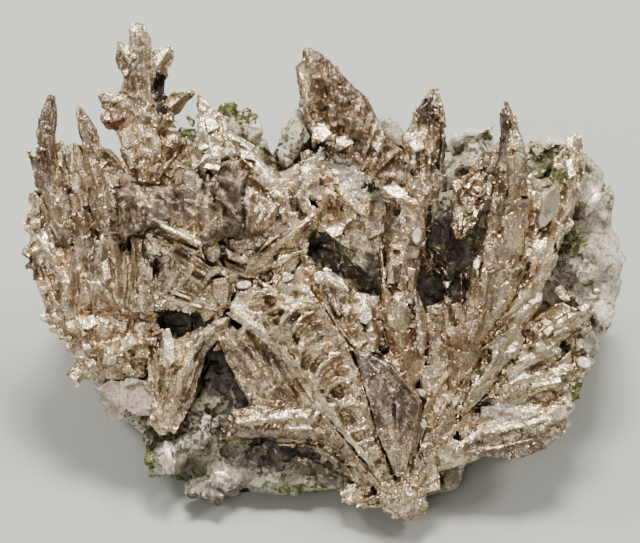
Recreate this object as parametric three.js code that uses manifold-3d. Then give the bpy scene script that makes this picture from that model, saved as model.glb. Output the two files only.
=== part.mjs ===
// Native silver grown over a block of calcite: a cabinet specimen about 140 mm wide that stands on its
// own sawn foot. The silver face is laid out flat first, in face coordinates: u runs right, v runs up
// the face and w stands out of it. The whole face is then leaned back over the block, which is cut off
// level at the table. Units are millimetres, +Z is up, and the origin is the middle of the foot.
import * as THREE from "three";
import { mergeVertices } from "three/addons/utils/BufferGeometryUtils.js";
import Module from "manifold-3d";

const wasm = await Module();
wasm.setup();

const FACE_LEAN = 40; // degrees that the silver face rises from the table
const FACE_HEIGHT = 40; // height of the middle of the face above the table
const FACE_MIDDLE = [-4, -1]; // where the middle of the face lies, seen from above the middle of the foot
const GAP = 0.4; // clearance between pieces that grew against each other
const TABLE_SIZE = 400; // side of the block that stands for everything under the table
const STONE_FRONT = -3; // where the stone's broken face lies behind the middle of the silver
const STONE_DEPTH = 70; // how far back the stone is laid out before its back is rounded
const CHIP = 0.06; // how rough a lump is, as a share of its radius
const STONE_CHIP = 0.12; // the same for the small blocks of stone
const BARB_LIFT = 0.25; // how far a barb's edge stands proud of its blade, as a share of the thickness
const NOTCH_DIP = 0.15; // how far the notch behind a barb is sunk, as a share of the thickness

const lean = THREE.MathUtils.degToRad(FACE_LEAN);

const silverBright = new THREE.MeshStandardMaterial({ color: 0xd8c7b0, roughness: 0.38, metalness: 1 });
const silverBrown = new THREE.MeshStandardMaterial({ color: 0xa08874, roughness: 0.42, metalness: 1 });
const silverGrey = new THREE.MeshStandardMaterial({ color: 0x7f746e, roughness: 0.48, metalness: 1 });
const calcite = new THREE.MeshStandardMaterial({ color: 0xb9b5aa, roughness: 0.7, metalness: 0 });

// ---- solids -------------------------------------------------------------------------------------

// A closed three.js geometry as a solid that can be joined and cut.
function solidOf(geometry) {
  const bare = geometry.clone();
  bare.deleteAttribute("normal");
  bare.deleteAttribute("uv");
  const merged = mergeVertices(bare, 1e-4);
  return new wasm.Manifold(
    new wasm.Mesh({
      numProp: 3,
      vertProperties: new Float32Array(merged.attributes.position.array),
      triVerts: new Uint32Array(merged.index.array),
    }),
  );
}

function geometryOf(solid) {
  const mesh = solid.getMesh();
  const positions = new Float32Array(mesh.numVert * 3);
  for (let i = 0; i < mesh.numVert; i++) {
    for (let axis = 0; axis < 3; axis++) {
      positions[i * 3 + axis] = mesh.vertProperties[i * mesh.numProp + axis];
    }
  }
  const geometry = new THREE.BufferGeometry();
  geometry.setAttribute("position", new THREE.BufferAttribute(positions, 3));
  geometry.setIndex(new THREE.BufferAttribute(new Uint32Array(mesh.triVerts), 1));
  geometry.computeVertexNormals();
  return geometry;
}

const join = (solids) => solids.reduce((whole, next) => whole.add(next));

// The largest of the bodies that a cut leaves.
function largestOf(solid) {
  return solid.decompose().reduce((best, body) => (body.volume() > best.volume() ? body : best));
}

// ---- crystal shapes -----------------------------------------------------------------------------
// Each shape takes grow, the clearance that a neighbour keeps from it.

// The axes of a blade at one of its stations: along it, across it and out of its broad side.
function axesAt(stations, index) {
  const at = (k) => new THREE.Vector3(...stations[k].slice(0, 3));
  const along = at(Math.min(index + 1, stations.length - 1)).sub(at(Math.max(index - 1, 0))).normalize();
  const out = new THREE.Vector3(0, 0, 1).addScaledVector(along, -along.z).normalize();
  return { along, out, across: new THREE.Vector3().crossVectors(out, along).normalize() };
}

// A crystal blade through its stations, each [u, v, w, width, thickness]. Its four sides give it a ridge
// down the middle of both faces and two sharp edges.
function blade(stations, grow) {
  const last = stations.length - 1;
  const geometry = new THREE.CylinderGeometry(1, 1, 1, 4, last);
  const position = geometry.attributes.position;
  const point = new THREE.Vector3();
  for (let i = 0; i < position.count; i++) {
    const k = Math.round((0.5 - position.getY(i)) * last);
    const [u, v, w, width, thickness] = stations[k];
    const { along, out, across } = axesAt(stations, k);
    const overrun = k === 0 ? -grow : k === last ? grow : 0;
    point
      .set(u, v, w)
      .addScaledVector(across, position.getX(i) * (width / 2 + grow))
      .addScaledVector(out, position.getZ(i) * (thickness / 2 + grow))
      .addScaledVector(along, overrun);
    position.setXYZ(i, point.x, point.y, point.z);
  }
  const solid = solidOf(geometry);
  return solid.volume() > 0 ? solid : solidOf(flipped(geometry));
}

function flipped(geometry) {
  const index = geometry.index.array;
  for (let i = 0; i < index.length; i += 3) [index[i + 1], index[i + 2]] = [index[i + 2], index[i + 1]];
  return geometry;
}

// A flat leaf with a cut outline of [u, v] points. It lies at height w on its anchor point, rises by the
// given slopes along u and v, and is as thick as stated.
function plate(outline, { w, thick, rise = [0, 0], anchor = outline[0] }, grow) {
  const shape = new THREE.Shape(outline.map(([u, v]) => new THREE.Vector2(u, v)));
  const geometry = new THREE.ExtrudeGeometry(shape, {
    depth: thick + 2 * grow,
    bevelThickness: 0,
    bevelSize: grow,
    bevelSegments: 0,
    curveSegments: 1,
  });
  const position = geometry.attributes.position;
  for (let i = 0; i < position.count; i++) {
    const slope = rise[0] * (position.getX(i) - anchor[0]) + rise[1] * (position.getY(i) - anchor[1]);
    position.setZ(i, position.getZ(i) - grow - thick / 2 + w + slope);
  }
  return solidOf(geometry);
}

// A herringbone crystal: a blade whose edges run out into barbs that sweep towards its tip, each standing
// a little proud of the notch behind it. Its stations are those of a blade.
function feather(stations, { barbs, sweep = 0.8, notch = 0.55 }, grow) {
  const sections = 2 * barbs;
  const geometry = new THREE.CylinderGeometry(1, 1, 1, 4, sections);
  const position = geometry.attributes.position;
  const point = new THREE.Vector3();
  for (let i = 0; i < position.count; i++) {
    const section = Math.round((0.5 - position.getY(i)) * sections);
    const place = (section / sections) * (stations.length - 1);
    const k = Math.min(Math.floor(place), stations.length - 2);
    const blend = (value, n) => THREE.MathUtils.lerp(value, stations[k + 1][n], place - k);
    const [u, v, w, width, thick] = stations[k].map(blend);
    const { along, out, across } = axesAt(stations, k);
    const isBarb = section % 2 === 1;
    const reach = (width / 2) * (isBarb ? 1 : notch);
    const edge = Math.abs(position.getX(i));
    const lift = edge * thick * (isBarb ? BARB_LIFT : -NOTCH_DIP);
    const overrun = section === 0 ? -grow : section === sections ? grow : 0;
    point
      .set(u, v, w)
      .addScaledVector(across, position.getX(i) * (reach + grow))
      .addScaledVector(out, position.getZ(i) * (thick / 2 + grow) + lift)
      .addScaledVector(along, edge * reach * sweep + overrun);
    position.setXYZ(i, point.x, point.y, point.z);
  }
  const solid = solidOf(geometry);
  return solid.volume() > 0 ? solid : solidOf(flipped(geometry));
}

// A rough lump: an icosphere stretched to its radii and chipped by crossed waves. An upright one has its
// radii along the table's axes instead of the face's.
function lump([u, v, w], [ru, rv, rw], grow, { detail = 1, chip = CHIP, upright = false } = {}) {
  const geometry = new THREE.IcosahedronGeometry(1, detail);
  const position = geometry.attributes.position;
  for (let i = 0; i < position.count; i++) {
    const [x, y, z] = [position.getX(i), position.getY(i), position.getZ(i)];
    const coarse = Math.sin(5 * x + 2 * u) * Math.sin(4 * y + v);
    const fine = Math.sin(9 * z + 3 * x + w) * Math.cos(8 * y - 2 * z + u);
    const swell = 1 + chip * (coarse + 0.6 * fine);
    position.setXYZ(i, x * (ru * swell + grow), y * (rv * swell + grow), z * (rw * swell + grow));
  }
  if (upright) geometry.rotateX(-lean);
  geometry.translate(u, v, w);
  return solidOf(geometry);
}

// A small single crystal, eight-sided.
function crystal([u, v, w], radius, grow) {
  const geometry = new THREE.OctahedronGeometry(radius + grow * Math.sqrt(3));
  geometry.rotateZ(u + v);
  geometry.translate(u, v, w);
  return solidOf(geometry);
}

// The hidden lump of silver that seats a piece in what lies behind it.
function seat(centre, radii, grow) {
  return lump(centre, radii, grow, { detail: 0, chip: 0 });
}

// ---- silver -------------------------------------------------------------------------------------
// Every piece is a function of the clearance kept around it. SILVER lists them from the front of the face
// to its back, and each is cut clear of all the pieces before it.

function rootKnot(grow) {
  return join([
    lump([18.5, -51, 1], [6.6, 6.4, 6], grow),
    seat([10, -51.4, -1.5], [7, 3.2, 3.5], grow),
    crystal([23, -54, 2], 3, grow),
    blade([[20, -57.4, -1, 7, 4], [20, -50, 3, 10, 7], [20, -44, 3, 7, 5]], grow),
  ]);
}

function middleSpike(grow) {
  return join([
    blade(
      [
        [21, -43, 5, 5, 4],
        [20, -30, 6, 5, 5],
        [18.5, -18, 8, 6, 6],
        [18, -5, 9, 9, 7],
        [20, 6, 10, 9, 7],
        [23.5, 18, 11.5, 9, 7],
        [25, 27, 12.5, 7.5, 6],
        [25.4, 34, 13.5, 6.8, 5],
        [26.2, 38.5, 14.5, 4.2, 3.4],
        [26.8, 41.8, 15, 1.2, 1.2],
      ],
      grow,
    ),
    blade([[21, -28, 5, 4, 4], [22.6, -14, 6.4, 6, 5], [21, -1, 7.4, 2, 3]], grow),
    blade([[25, 12, 9, 4, 4], [20, 16.5, 10, 5, 4], [13.5, 19.4, 10, 1.4, 1.6]], grow),
    blade([[25, 22, 10, 5, 4], [21.5, 29.5, 10.5, 6, 4], [19, 32.4, 10.5, 1.4, 1.6]], grow),
    blade([[24, 31, 11, 4, 3], [22, 36, 12.2, 2.4, 2], [21.6, 38, 12.5, 0.8, 0.8]], grow),
    seat([21.5, 9, 2], [3.5, 4, 9], grow),
  ]);
}

function tallSpike(grow) {
  return join([
    blade(
      [
        [31, -27, 5, 6, 5],
        [35, -15, 6.5, 9, 6.5],
        [39.5, -4, 8, 12.5, 7.5],
        [42, 8, 10, 9.5, 7],
        [43.2, 19, 11.5, 7.2, 6],
        [43.5, 28, 13, 6.6, 5],
        [43, 34, 14, 4.4, 3.6],
        [42.3, 39, 15, 0.9, 1],
      ],
      grow,
    ),
    feather(
      [[32, 4, 4, 5, 5], [33.6, 13, 6, 7, 5.4], [36.6, 21, 7.4, 6, 5], [40.2, 28.8, 8.4, 1.4, 2]],
      { barbs: 5 },
      grow,
    ),
    blade([[31, -26, 3, 6, 5], [29.6, -14, 4, 6, 5], [29, -5, 4, 2.6, 3]], grow),
    blade(
      [[42, -4, 8, 4, 5], [45.3, 7, 9, 4, 4], [46.5, 18, 10, 3.4, 3], [47, 29.5, 11.5, 1, 1]],
      grow,
    ),
    seat([39, 1, 2], [5, 6, 8], grow),
    seat([31, 4, 0], [3, 4, 6], grow),
  ]);
}

function darkLeaf(grow) {
  const outline = [
    [7, -17.6], [12, -18.9], [15.2, -20.6], [18.2, -23.4], [20.8, -26.4], [23, -30.2], [22.2, -36],
    [19.5, -42], [15.5, -42], [13, -36.2], [11.4, -29], [9, -21.5],
  ];
  return join([
    plate(outline, { w: 10.6, thick: 2.4, rise: [0, 0.06] }, grow),
    feather(
      [[18, -42, 7.6, 6, 4], [17.6, -36, 9, 8, 4], [15.6, -28, 10.4, 7, 4], [9, -19.4, 11.4, 1, 1.4]],
      { barbs: 4, sweep: 0.5, notch: 0.8 },
      grow,
    ),
    blade([[18, -44, 4, 5, 5], [17, -34, 7, 5, 5], [12, -24, 8.4, 2.4, 3]], grow),
  ]);
}

function centreFrond(grow) {
  const outline = [
    [13.5, -48], [4, -35.4], [0.2, -28.6], [-3, -22.4], [-6.8, -17.8], [-17, -11.2], [-21, -8.2],
    [-19, -4.6], [-12, -3.6], [-8.6, -0.8], [-1.4, -4.2], [4.6, -13], [10.4, -26], [17, -43],
  ];
  return join([
    plate(outline, { w: 2.4, thick: 3, rise: [0, 0.07] }, grow),
    feather(
      [
        [16.4, -48, 3.6, 5, 5], [11, -38, 5, 8.4, 5.4], [5.6, -28, 6, 12.4, 6], [0, -17, 7, 15, 6],
        [-4.4, -9, 7.6, 12, 5.4], [-8.6, -1.6, 8, 2, 2],
      ],
      { barbs: 8 },
      grow,
    ),
    feather(
      [[-4, -17, 5, 6, 4], [-11, -12, 5.8, 9, 4.4], [-16.6, -9, 6, 6.4, 4], [-21, -8, 5.6, 1, 1.4]],
      { barbs: 3 },
      grow,
    ),
  ]);
}

function blockRidge(grow) {
  const blocks = [
    [0.6, -2, 4.4, 3.7], [5.4, -4.6, 4.8, 3.9], [10, -8.6, 5, 4], [11.4, -14.6, 5, 3.7],
    [6.4, -11.4, 4, 3.6],
  ];
  return join([
    ...blocks.map(([u, v, w, radius]) => {
      return lump([u, v, w], [radius, radius, radius * 1.3], grow, { detail: 0 });
    }),
    blade([[0, -3, 1, 6, 6], [7, -10, 1, 8, 7], [12, -20, 1.5, 5, 6]], grow),
  ]);
}

function tongueBlade(grow) {
  const outline = [
    [-24, -13.6], [-22.2, -19], [-18.4, -26], [-15.4, -31.4], [-10.4, -31.9], [-6.4, -29.6],
    [-8, -25.4], [-11.6, -19.6], [-14.8, -15.2], [-18.4, -13.2],
  ];
  return join([
    plate(outline, { w: 2, thick: 2.6, rise: [0.05, 0.02] }, grow),
    blade([[-10, -31.4, 2.4, 5, 4.6], [-14.6, -23.4, 3, 7, 5.4], [-21.6, -14.4, 2.6, 3, 3]], grow),
    seat([-13, -25, -1.5], [5, 5, 4], grow),
  ]);
}

function lowerBand(grow) {
  return join([
    blade(
      [
        [15, -50.5, 2.6, 4, 5],
        [10, -45, 2, 5, 6.5],
        [4.5, -39.6, 1.4, 5, 7],
        [-2, -36.4, 1, 5.8, 7],
        [-10, -36, 1, 6, 7],
        [-17, -36.8, 0.4, 5, 6],
        [-22.4, -38.6, -0.4, 2, 3],
      ],
      grow,
    ),
    blade([[-9, -36, 2.4, 3, 3], [-6, -32.4, 3, 4, 3], [-2, -31, 3, 1, 1]], grow),
    blade([[-4, -35, 2.4, 3, 3], [-9, -31.5, 3, 3.4, 3], [-11, -31, 2.6, 1, 1]], grow),
    blade(
      [
        [13, -53, 0.6, 4, 5], [7.6, -48.4, 0, 5.4, 6.5], [1, -43.4, -1, 5.4, 6],
        [-6, -40.6, -2.6, 2.6, 3],
      ],
      grow,
    ),
    blade([[-1.4, -42.8, -1, 3, 3], [-4.6, -45.4, -0.6, 3, 2.6], [-6.6, -47.4, -0.6, 1, 1]], grow),
    seat([-6, -36.5, -2], [12, 3, 3], grow),
  ]);
}

function serratedLeaf(grow) {
  const outline = [
    [-42.4, 8.6], [-45.6, 7], [-46.4, 12], [-46, 19], [-36.4, 19.8], [-24, 20.6], [-13.4, 17.6],
    [-9.3, 15], [-10.4, 11.2], [-16, 7.2], [-20, 8.4], [-25.6, 5.4], [-37, 11.4],
  ];
  return join([
    plate(outline, { w: 8.6, thick: 2.6, rise: [0.01, 0] }, grow),
    feather(
      [[-24.4, 5.6, 10, 3, 3], [-31, 10.6, 11, 8, 4], [-38, 14, 10.6, 12, 4], [-46, 18.4, 9.2, 4, 2.4]],
      { barbs: 3 },
      grow,
    ),
    feather(
      [[-24, 7, 10.4, 6, 3], [-27.4, 13, 11, 11, 4], [-29, 18, 11, 9, 4], [-30, 23.4, 10, 2, 2]],
      { barbs: 4 },
      grow,
    ),
    feather(
      [
        [-16, 7.4, 10.4, 6, 3], [-18, 13.6, 11.4, 12, 4.6], [-19.4, 20, 11.4, 10, 4],
        [-20.4, 25.6, 10.4, 2, 2],
      ],
      { barbs: 4 },
      grow,
    ),
    seat([-25, 13, 6], [12, 4.4, 5], grow),
  ]);
}

function leftFern(grow) {
  const outline = [
    [-40.6, 9], [-36, 9], [-26, 4.6], [-22, 6], [-18, 3.4], [-8, 9], [-0.6, 14.4], [0.4, 12.4],
    [-4, 4.6], [-6, -0.6], [-14, -3], [-20, -5], [-21.4, -9], [-30, -9.8], [-38.4, -9.4], [-38.8, 2],
  ];
  return join([
    plate(outline, { w: 2, thick: 3 }, grow),
    feather(
      [[-16, -1, 3, 6, 4], [-24, 0.6, 3.8, 12.6, 5], [-32, 1.6, 3.6, 14, 5], [-40.4, 4.6, 3, 6, 3]],
      { barbs: 5, sweep: 0.7 },
      grow,
    ),
    feather(
      [[-22, -3, 2.6, 5, 4], [-13, 2.6, 4, 9, 4.6], [-6, 8.4, 4.4, 6.6, 4], [0.4, 14.4, 4, 1, 1.4]],
      { barbs: 4, sweep: 0.6 },
      grow,
    ),
    blade([[-22, -7.4, 2.8, 3, 3], [-29, -7, 3.4, 5, 4], [-38, -5.6, 3, 2, 2]], grow),
    seat([-24, 0, -1], [13, 5, 5], grow),
  ]);
}

function centrePlate(grow) {
  const outline = [
    [-6.4, 24.6], [-1, 27.2], [4, 26], [12, 22], [17, 17], [17, 11], [15.6, 4], [10, 4], [6, 5], [2, 8],
    [0.8, 12], [-1.4, 16], [-5.2, 17.8], [-7, 20.6],
  ];
  return join([
    plate(outline, { w: 1.6, thick: 3.4 }, grow),
    feather([[14, 9, 3, 4, 3.6], [6, 17, 3.6, 8, 4], [-5, 24.4, 3, 2, 2]], { barbs: 3 }, grow),
    crystal([11, 21, 3], 3.2, grow),
    seat([4, 17, -2], [5, 5, 3.4], grow),
  ]);
}

function upperLeaf(grow) {
  const outline = [
    [-28.3, 41.2], [-25.8, 38.6], [-22.2, 36], [-17.6, 30], [-12, 24.2], [-6.6, 16.6], [-6, 12.6],
    [-14, 12], [-33, 17], [-30, 23.6], [-30.2, 28.6], [-28.2, 30.6], [-28, 36],
  ];
  return join([
    plate(outline, { w: 5, thick: 2.6 }, grow),
    feather(
      [[-21, 18, 5, 6, 5], [-23, 25, 5.8, 11, 5], [-25.4, 32, 6, 6.4, 4.6], [-27.9, 40.4, 5.4, 1, 1.6]],
      { barbs: 5 },
      grow,
    ),
    blade([[-17, 25.6, 5.6, 2, 2], [-12.4, 21.4, 6, 4, 3], [-7.6, 15.6, 5.6, 1.6, 2]], grow),
    seat([-22, 25, 0], [6, 8, 5], grow),
  ]);
}

function broadBlade(grow) {
  return join([
    feather(
      [
        [31, -34, 3.4, 5, 5], [38, -24, 4.4, 7, 6], [44.6, -11, 5, 9.6, 6], [50, 0, 5.4, 7.6, 5.6],
        [54.6, 10, 5.4, 7, 5], [58, 20, 5.6, 6.6, 4.4], [58.8, 28, 5.6, 5, 3.6],
        [59.2, 31.8, 5.4, 1.6, 2],
      ],
      { barbs: 8, sweep: 1.1, notch: 0.75 },
      grow,
    ),
    blade([[48, 0, 4, 4, 4], [49.6, 7, 4.4, 5, 4], [49, 14.6, 4, 1, 1.4]], grow),
    blade([[54, 6, 3, 4, 4], [55.6, 18, 4, 3.6, 3.6], [55.4, 28, 4.4, 1.4, 2]], grow),
    seat([46, -9, -1], [5, 7, 5], grow),
    seat([57, 20, 0.4], [3, 7, 4.6], grow),
  ]);
}

function rightFronds(grow) {
  const outline = [
    [33, -36], [40, -27.6], [48, -17], [56, -9.4], [63.4, -7.6], [61.6, -13], [60.4, -18], [63.6, -21],
    [59, -26], [58.4, -32], [55, -37.4], [46, -42.6], [34, -42.8], [26, -46],
  ];
  return join([
    plate(outline, { w: -0.2, thick: 3.4 }, grow),
    feather(
      [
        [41, -29, 1.6, 6, 5], [47, -22, 2.6, 8, 6], [54, -14.6, 3, 9, 5.6], [59.6, -10, 2.6, 5, 4],
        [63.6, -7.6, 1.6, 1.2, 1.6],
      ],
      { barbs: 4 },
      grow,
    ),
    feather(
      [[41, -30, 1, 6, 5], [49, -25.6, 2, 7, 5.4], [57, -23, 1.6, 6.4, 4.6], [63.6, -20.6, 1, 2, 2]],
      { barbs: 3, sweep: 0.5 },
      grow,
    ),
    blade([[38, -35, 1, 6, 5], [50, -32.4, 1.6, 6.4, 5], [59, -31.6, 0.6, 2.4, 2.4]], grow),
    blade([[26, -44, 1, 7, 6], [38, -39.2, 1.6, 7.4, 6.4], [56, -37, 0.6, 1.6, 2]], grow),
    blade([[24.6, -44, 3, 6, 5], [28.6, -34, 3.4, 8, 6], [30, -27, 2.6, 6, 5]], grow),
    seat([43, -33, -2], [9, 6, 5], grow),
  ]);
}

function flowLobe(grow) {
  return join([
    blade(
      [
        [-20.6, -10.4, 3, 2, 3],
        [-25, -14, 2.6, 4.6, 4.6],
        [-29.6, -20, 2, 5.6, 5.4],
        [-32, -26, 1.4, 7, 6],
        [-34.6, -32, 0.8, 6.6, 5],
        [-36.6, -36, 0.2, 3, 3],
      ],
      grow,
    ),
    seat([-35, -20.4, 1.6], [2.2, 2.2, 2.6], grow),
    blade([[-34.4, -22, 1.6, 3, 3], [-34.8, -17, 2.4, 3.4, 3.4], [-35.4, -13, 2, 1.6, 2]], grow),
    seat([-31, -26, -2.4], [4, 5, 4], grow),
  ]);
}

function innerSpike(grow) {
  return join([
    blade(
      [
        [-47, 6, 2, 8, 5],
        [-49, 16, 3.4, 9.4, 5.6],
        [-51, 24, 4.4, 7.4, 5],
        [-52.8, 30, 5.4, 5, 4],
        [-54.6, 34.4, 6.2, 2.8, 2.6],
        [-56, 38, 6.8, 0.9, 1],
      ],
      grow,
    ),
    blade([[-44.4, 14, 2.4, 5, 4], [-46, 23, 3, 4, 3.4], [-48.8, 29, 3.4, 1, 1.2]], grow),
    seat([-48, 12, -1], [4.4, 6, 4.4], grow),
  ]);
}

function outerSpike(grow) {
  return join([
    blade(
      [
        [-58, 6, 1, 6, 5],
        [-60.6, 15, 2.4, 6.6, 5],
        [-63, 23.4, 3.6, 4.6, 4.4],
        [-63.4, 29, 4.6, 4.4, 4],
        [-63, 32.6, 5, 5, 4],
        [-62.2, 37, 5.8, 3.4, 3],
        [-61.8, 40.6, 6.4, 1.8, 1.8],
      ],
      grow,
    ),
    blade([[-63, 19, 2.4, 3.4, 3], [-65.8, 24, 2.6, 2.8, 2.4], [-67.8, 27.4, 2.8, 0.9, 1]], grow),
    seat([-60, 12, -1], [3, 5, 4], grow),
  ]);
}

function leftCrust(grow) {
  const outline = [
    [-62.4, 24], [-65.2, 20], [-67, 10], [-67.2, 3], [-65.2, -3.2], [-63.2, -10], [-58.8, -15.8],
    [-56, -21], [-56, -25], [-46, -25.4], [-38, -24], [-36, -16], [-39.4, -4], [-40.8, 3], [-46.6, 12],
    [-47, 20], [-50.6, 24], [-54.4, 29.6], [-58, 28.8], [-60.8, 30],
  ];
  const knobs = [
    [-65.4, 16, 1, 2.9], [-66, 10.6, 0.8, 2.9], [-66.2, 4.6, 0.6, 2.9], [-61.8, -10.6, 0.6, 2.8],
    [-56.4, -23.4, 0, 2.8], [-53, -14, 2, 4.2], [-47.6, -19, 2, 4.8], [-41.4, -16.6, 1.6, 4.6],
  ];
  return join([
    plate(outline, { w: -0.4, thick: 4 }, grow),
    blade([[-61.4, -9.4, 1.4, 2, 2], [-60.6, 3, 2.4, 2.4, 3]], grow),
    blade(
      [
        [-58, -8, 1.6, 2, 2.4], [-57.4, -2, 2.4, 3.6, 3.4], [-57.4, 6, 2.4, 3, 2.6],
        [-58.4, 18, 2, 1.6, 2],
      ],
      grow,
    ),
    blade([[-43.6, -10, 2, 3, 3], [-42.8, 5, 3, 2.4, 3]], grow),
    blade([[-39.8, -10, 1.6, 3, 3], [-41, 1, 2.6, 2.4, 3]], grow),
    blade([[-49, -9, 1.6, 6, 3], [-50.4, 0, 3, 8, 4], [-50, 8, 3, 4, 3]], grow),
    blade([[-54.4, -10, 1.2, 4, 3], [-54.6, 8, 2.8, 5, 4], [-55.6, 27, 1.4, 3, 2]], grow),
    ...knobs.map(([u, v, w, radius]) => crystal([u, v, w], radius, grow)),
    seat([-50, -14, -2.6], [8, 9, 4], grow),
  ]);
}

function starFern(grow) {
  return join([
    blade(
      [
        [-41, 20, -3, 9, 5],
        [-41, 29, -2, 12, 5],
        [-41.8, 36, -1, 9, 4.6],
        [-42, 43, 0, 5.6, 4.2],
        [-41.8, 50, 1, 6, 3.8],
        [-41.8, 55, 1.4, 4.6, 3],
        [-42.4, 57.6, 1.6, 2, 1.8],
      ],
      grow,
    ),
    blade([[-41.6, 42, 0, 4, 3], [-45, 48.4, 1, 4.6, 3], [-46.9, 53.4, 1.6, 0.8, 1]], grow),
    blade([[-41, 43, 0, 4, 3], [-37.4, 48, 0.8, 5.4, 3.4], [-34.6, 52.2, 1, 2.4, 1.6]], grow),
    blade([[-38.4, 32, -2, 4, 3.6], [-37.2, 39, -1.6, 3.4, 3.4], [-36.8, 45, -0.8, 3, 3]], grow),
    blade([[-41, 36, -0.6, 4.4, 3.4], [-47, 39.4, 0.6, 4.4, 3.4], [-51.6, 40.4, 1, 1, 1]], grow),
    blade([[-42, 30, -1, 4.4, 3.4], [-46.8, 34, 0.4, 4.4, 3.2], [-50.8, 35.8, 1, 1, 1]], grow),
    blade([[-38, 34, -1.6, 4, 3], [-33, 39, -0.6, 5, 3.4], [-28.9, 41.3, 0, 0.9, 1]], grow),
    seat([-34.6, 29.6, -1.6], [4, 3.6, 3.6], grow),
  ]);
}

function topBlade(grow) {
  const outline = [
    [-3.2, 52], [-4.3, 50.6], [-4, 48.6], [-5.5, 47.8], [-5, 42], [-3.6, 36], [-2.4, 30.6], [1.6, 31],
    [4.2, 28.6], [10, 27], [15, 24.6], [17, 27.6], [14.4, 33.5], [10.8, 40.4], [8, 42.6], [3.5, 47.3],
    [0.4, 50.3],
  ];
  return join([
    plate(outline, { w: 1.6, thick: 3, rise: [0, 0.08], anchor: [5, 30] }, grow),
    feather(
      [[13.6, 27, 2, 5, 4.4], [8.4, 33, 3, 10, 5], [3.6, 41, 3.8, 8, 4.6], [-3, 51.4, 4, 1, 1.6]],
      { barbs: 6, sweep: 0.5, notch: 0.7 },
      grow,
    ),
    seat([7, 31, -1], [7, 4.4, 3.6], grow),
    crystal([0.6, 32, 3], 2.8, grow),
  ]);
}

const SILVER = [
  ["middle_spike", silverBrown, middleSpike],
  ["tall_spike", silverBrown, tallSpike],
  ["dark_leaf", silverGrey, darkLeaf],
  ["serrated_leaf", silverGrey, serratedLeaf],
  ["centre_frond", silverBright, centreFrond],
  ["left_fern", silverBrown, leftFern],
  ["block_ridge", silverBright, blockRidge],
  ["inner_spike", silverBrown, innerSpike],
  ["outer_spike", silverGrey, outerSpike],
  ["upper_leaf", silverBright, upperLeaf],
  ["broad_blade", silverBright, broadBlade],
  ["flow_lobe", silverBright, flowLobe],
  ["tongue_blade", silverBrown, tongueBlade],
  ["root_knot", silverBright, rootKnot],
  ["lower_band", silverBright, lowerBand],
  ["right_fronds", silverBright, rightFronds],
  ["centre_plate", silverBright, centrePlate],
  ["top_blade", silverBrown, topBlade],
  ["left_crust", silverBright, leftCrust],
  ["star_fern", silverBright, starFern],
];

// ---- stone --------------------------------------------------------------------------------------

// The stone's edge as it shows behind the silver.
const STONE_OUTLINE = [
  [-53, -27.4], [-47, -33], [-40, -39.4], [-39.6, -44], [-37.4, -47.6], [-31.6, -50], [-29.4, -53],
  [-25, -54.4], [-18, -50.6], [-8, -52], [8, -50], [20, -48], [25, -52.8], [32.8, -49.4], [35, -41],
  [52, -38], [60, -28], [65, -18], [69.2, -5], [70.6, 3], [68, 10], [67.6, 17.4], [63.4, 26], [60, 30],
  [55, 31.4], [46.4, 29.4], [40.3, 33.8], [36, 33], [29.6, 28.2], [22, 28.6], [16.4, 35.4],
  [12.6, 36.4], [2, 38], [-5.4, 38], [-8.8, 33.2], [-10.6, 25.4], [-13.6, 32.4], [-19.6, 36.4],
  [-22.2, 39.2], [-26, 38], [-33.4, 33.6], [-42, 25], [-57, 12], [-62, 3], [-60, -10], [-55, -20],
];

// Grains and blocks that stand on the stone's front and rim, each [u, v, w, radius].
const STONE_LUMPS = [
  [-45, -30, -5, 7], [-35, -43, -5, 6.4], [-27, -39, -6, 6], [-22, -47, -6, 5.4], [29, -47.6, -6, 5],
  [62, 3, -6, 8.6], [64, -8, -6, 5.6], [63, 17, -6, 5.6], [51.6, 15, -4, 6], [49.6, 25, -6, 6],
  [35.6, 27, -6, 6], [59.6, -26.4, -5, 4.6], [-19, 32.6, -4, 5], [-5, 32, -2, 5], [-7, 27.4, -3, 4],
  [15.6, 32, -4, 4.6], [-31, 30.4, -4, 4],
];

// What the stone's back is rounded to, in the table's axes: [centre x, y, z] and radii.
const STONE_BACK = [
  { at: [4, -2, 0], radii: [62, 38, 36] },
  { at: [4, 6, 20], radii: [74, 33, 36] },
  { at: [4, 13, 38], radii: [80, 21, 28] },
];

// A point given in the table's axes, turned into face coordinates.
function toFace([x, y, z]) {
  const point = new THREE.Vector3(x, y, z - FACE_HEIGHT);
  return point.applyAxisAngle(new THREE.Vector3(1, 0, 0), -lean).toArray();
}

// Everything under the table, in face coordinates.
function underTable() {
  const block = new THREE.BoxGeometry(TABLE_SIZE, TABLE_SIZE, TABLE_SIZE);
  block.translate(0, 0, -TABLE_SIZE / 2 - FACE_HEIGHT);
  block.rotateX(-lean);
  return solidOf(block);
}

function matrixRock() {
  const slab = plate(STONE_OUTLINE, { w: STONE_FRONT - STONE_DEPTH / 2, thick: STONE_DEPTH }, 0);
  const backs = STONE_BACK.map(({ at, radii }) => {
    return lump(toFace(at), radii, 0, { detail: 2, upright: true });
  });
  const lumps = STONE_LUMPS.map(([u, v, w, radius]) => {
    return lump([u, v, w], [radius, radius * 0.9, radius], 0, { detail: 0, chip: STONE_CHIP });
  });
  return join([slab.intersect(join(backs)), ...lumps]).subtract(underTable());
}

// ---- specimen -----------------------------------------------------------------------------------

const face = new THREE.Group();
face.rotation.x = lean;
face.position.set(...FACE_MIDDLE, FACE_HEIGHT);

function addPiece(name, material, solid) {
  const mesh = new THREE.Mesh(geometryOf(solid), material);
  mesh.name = name;
  face.add(mesh);
}

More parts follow.
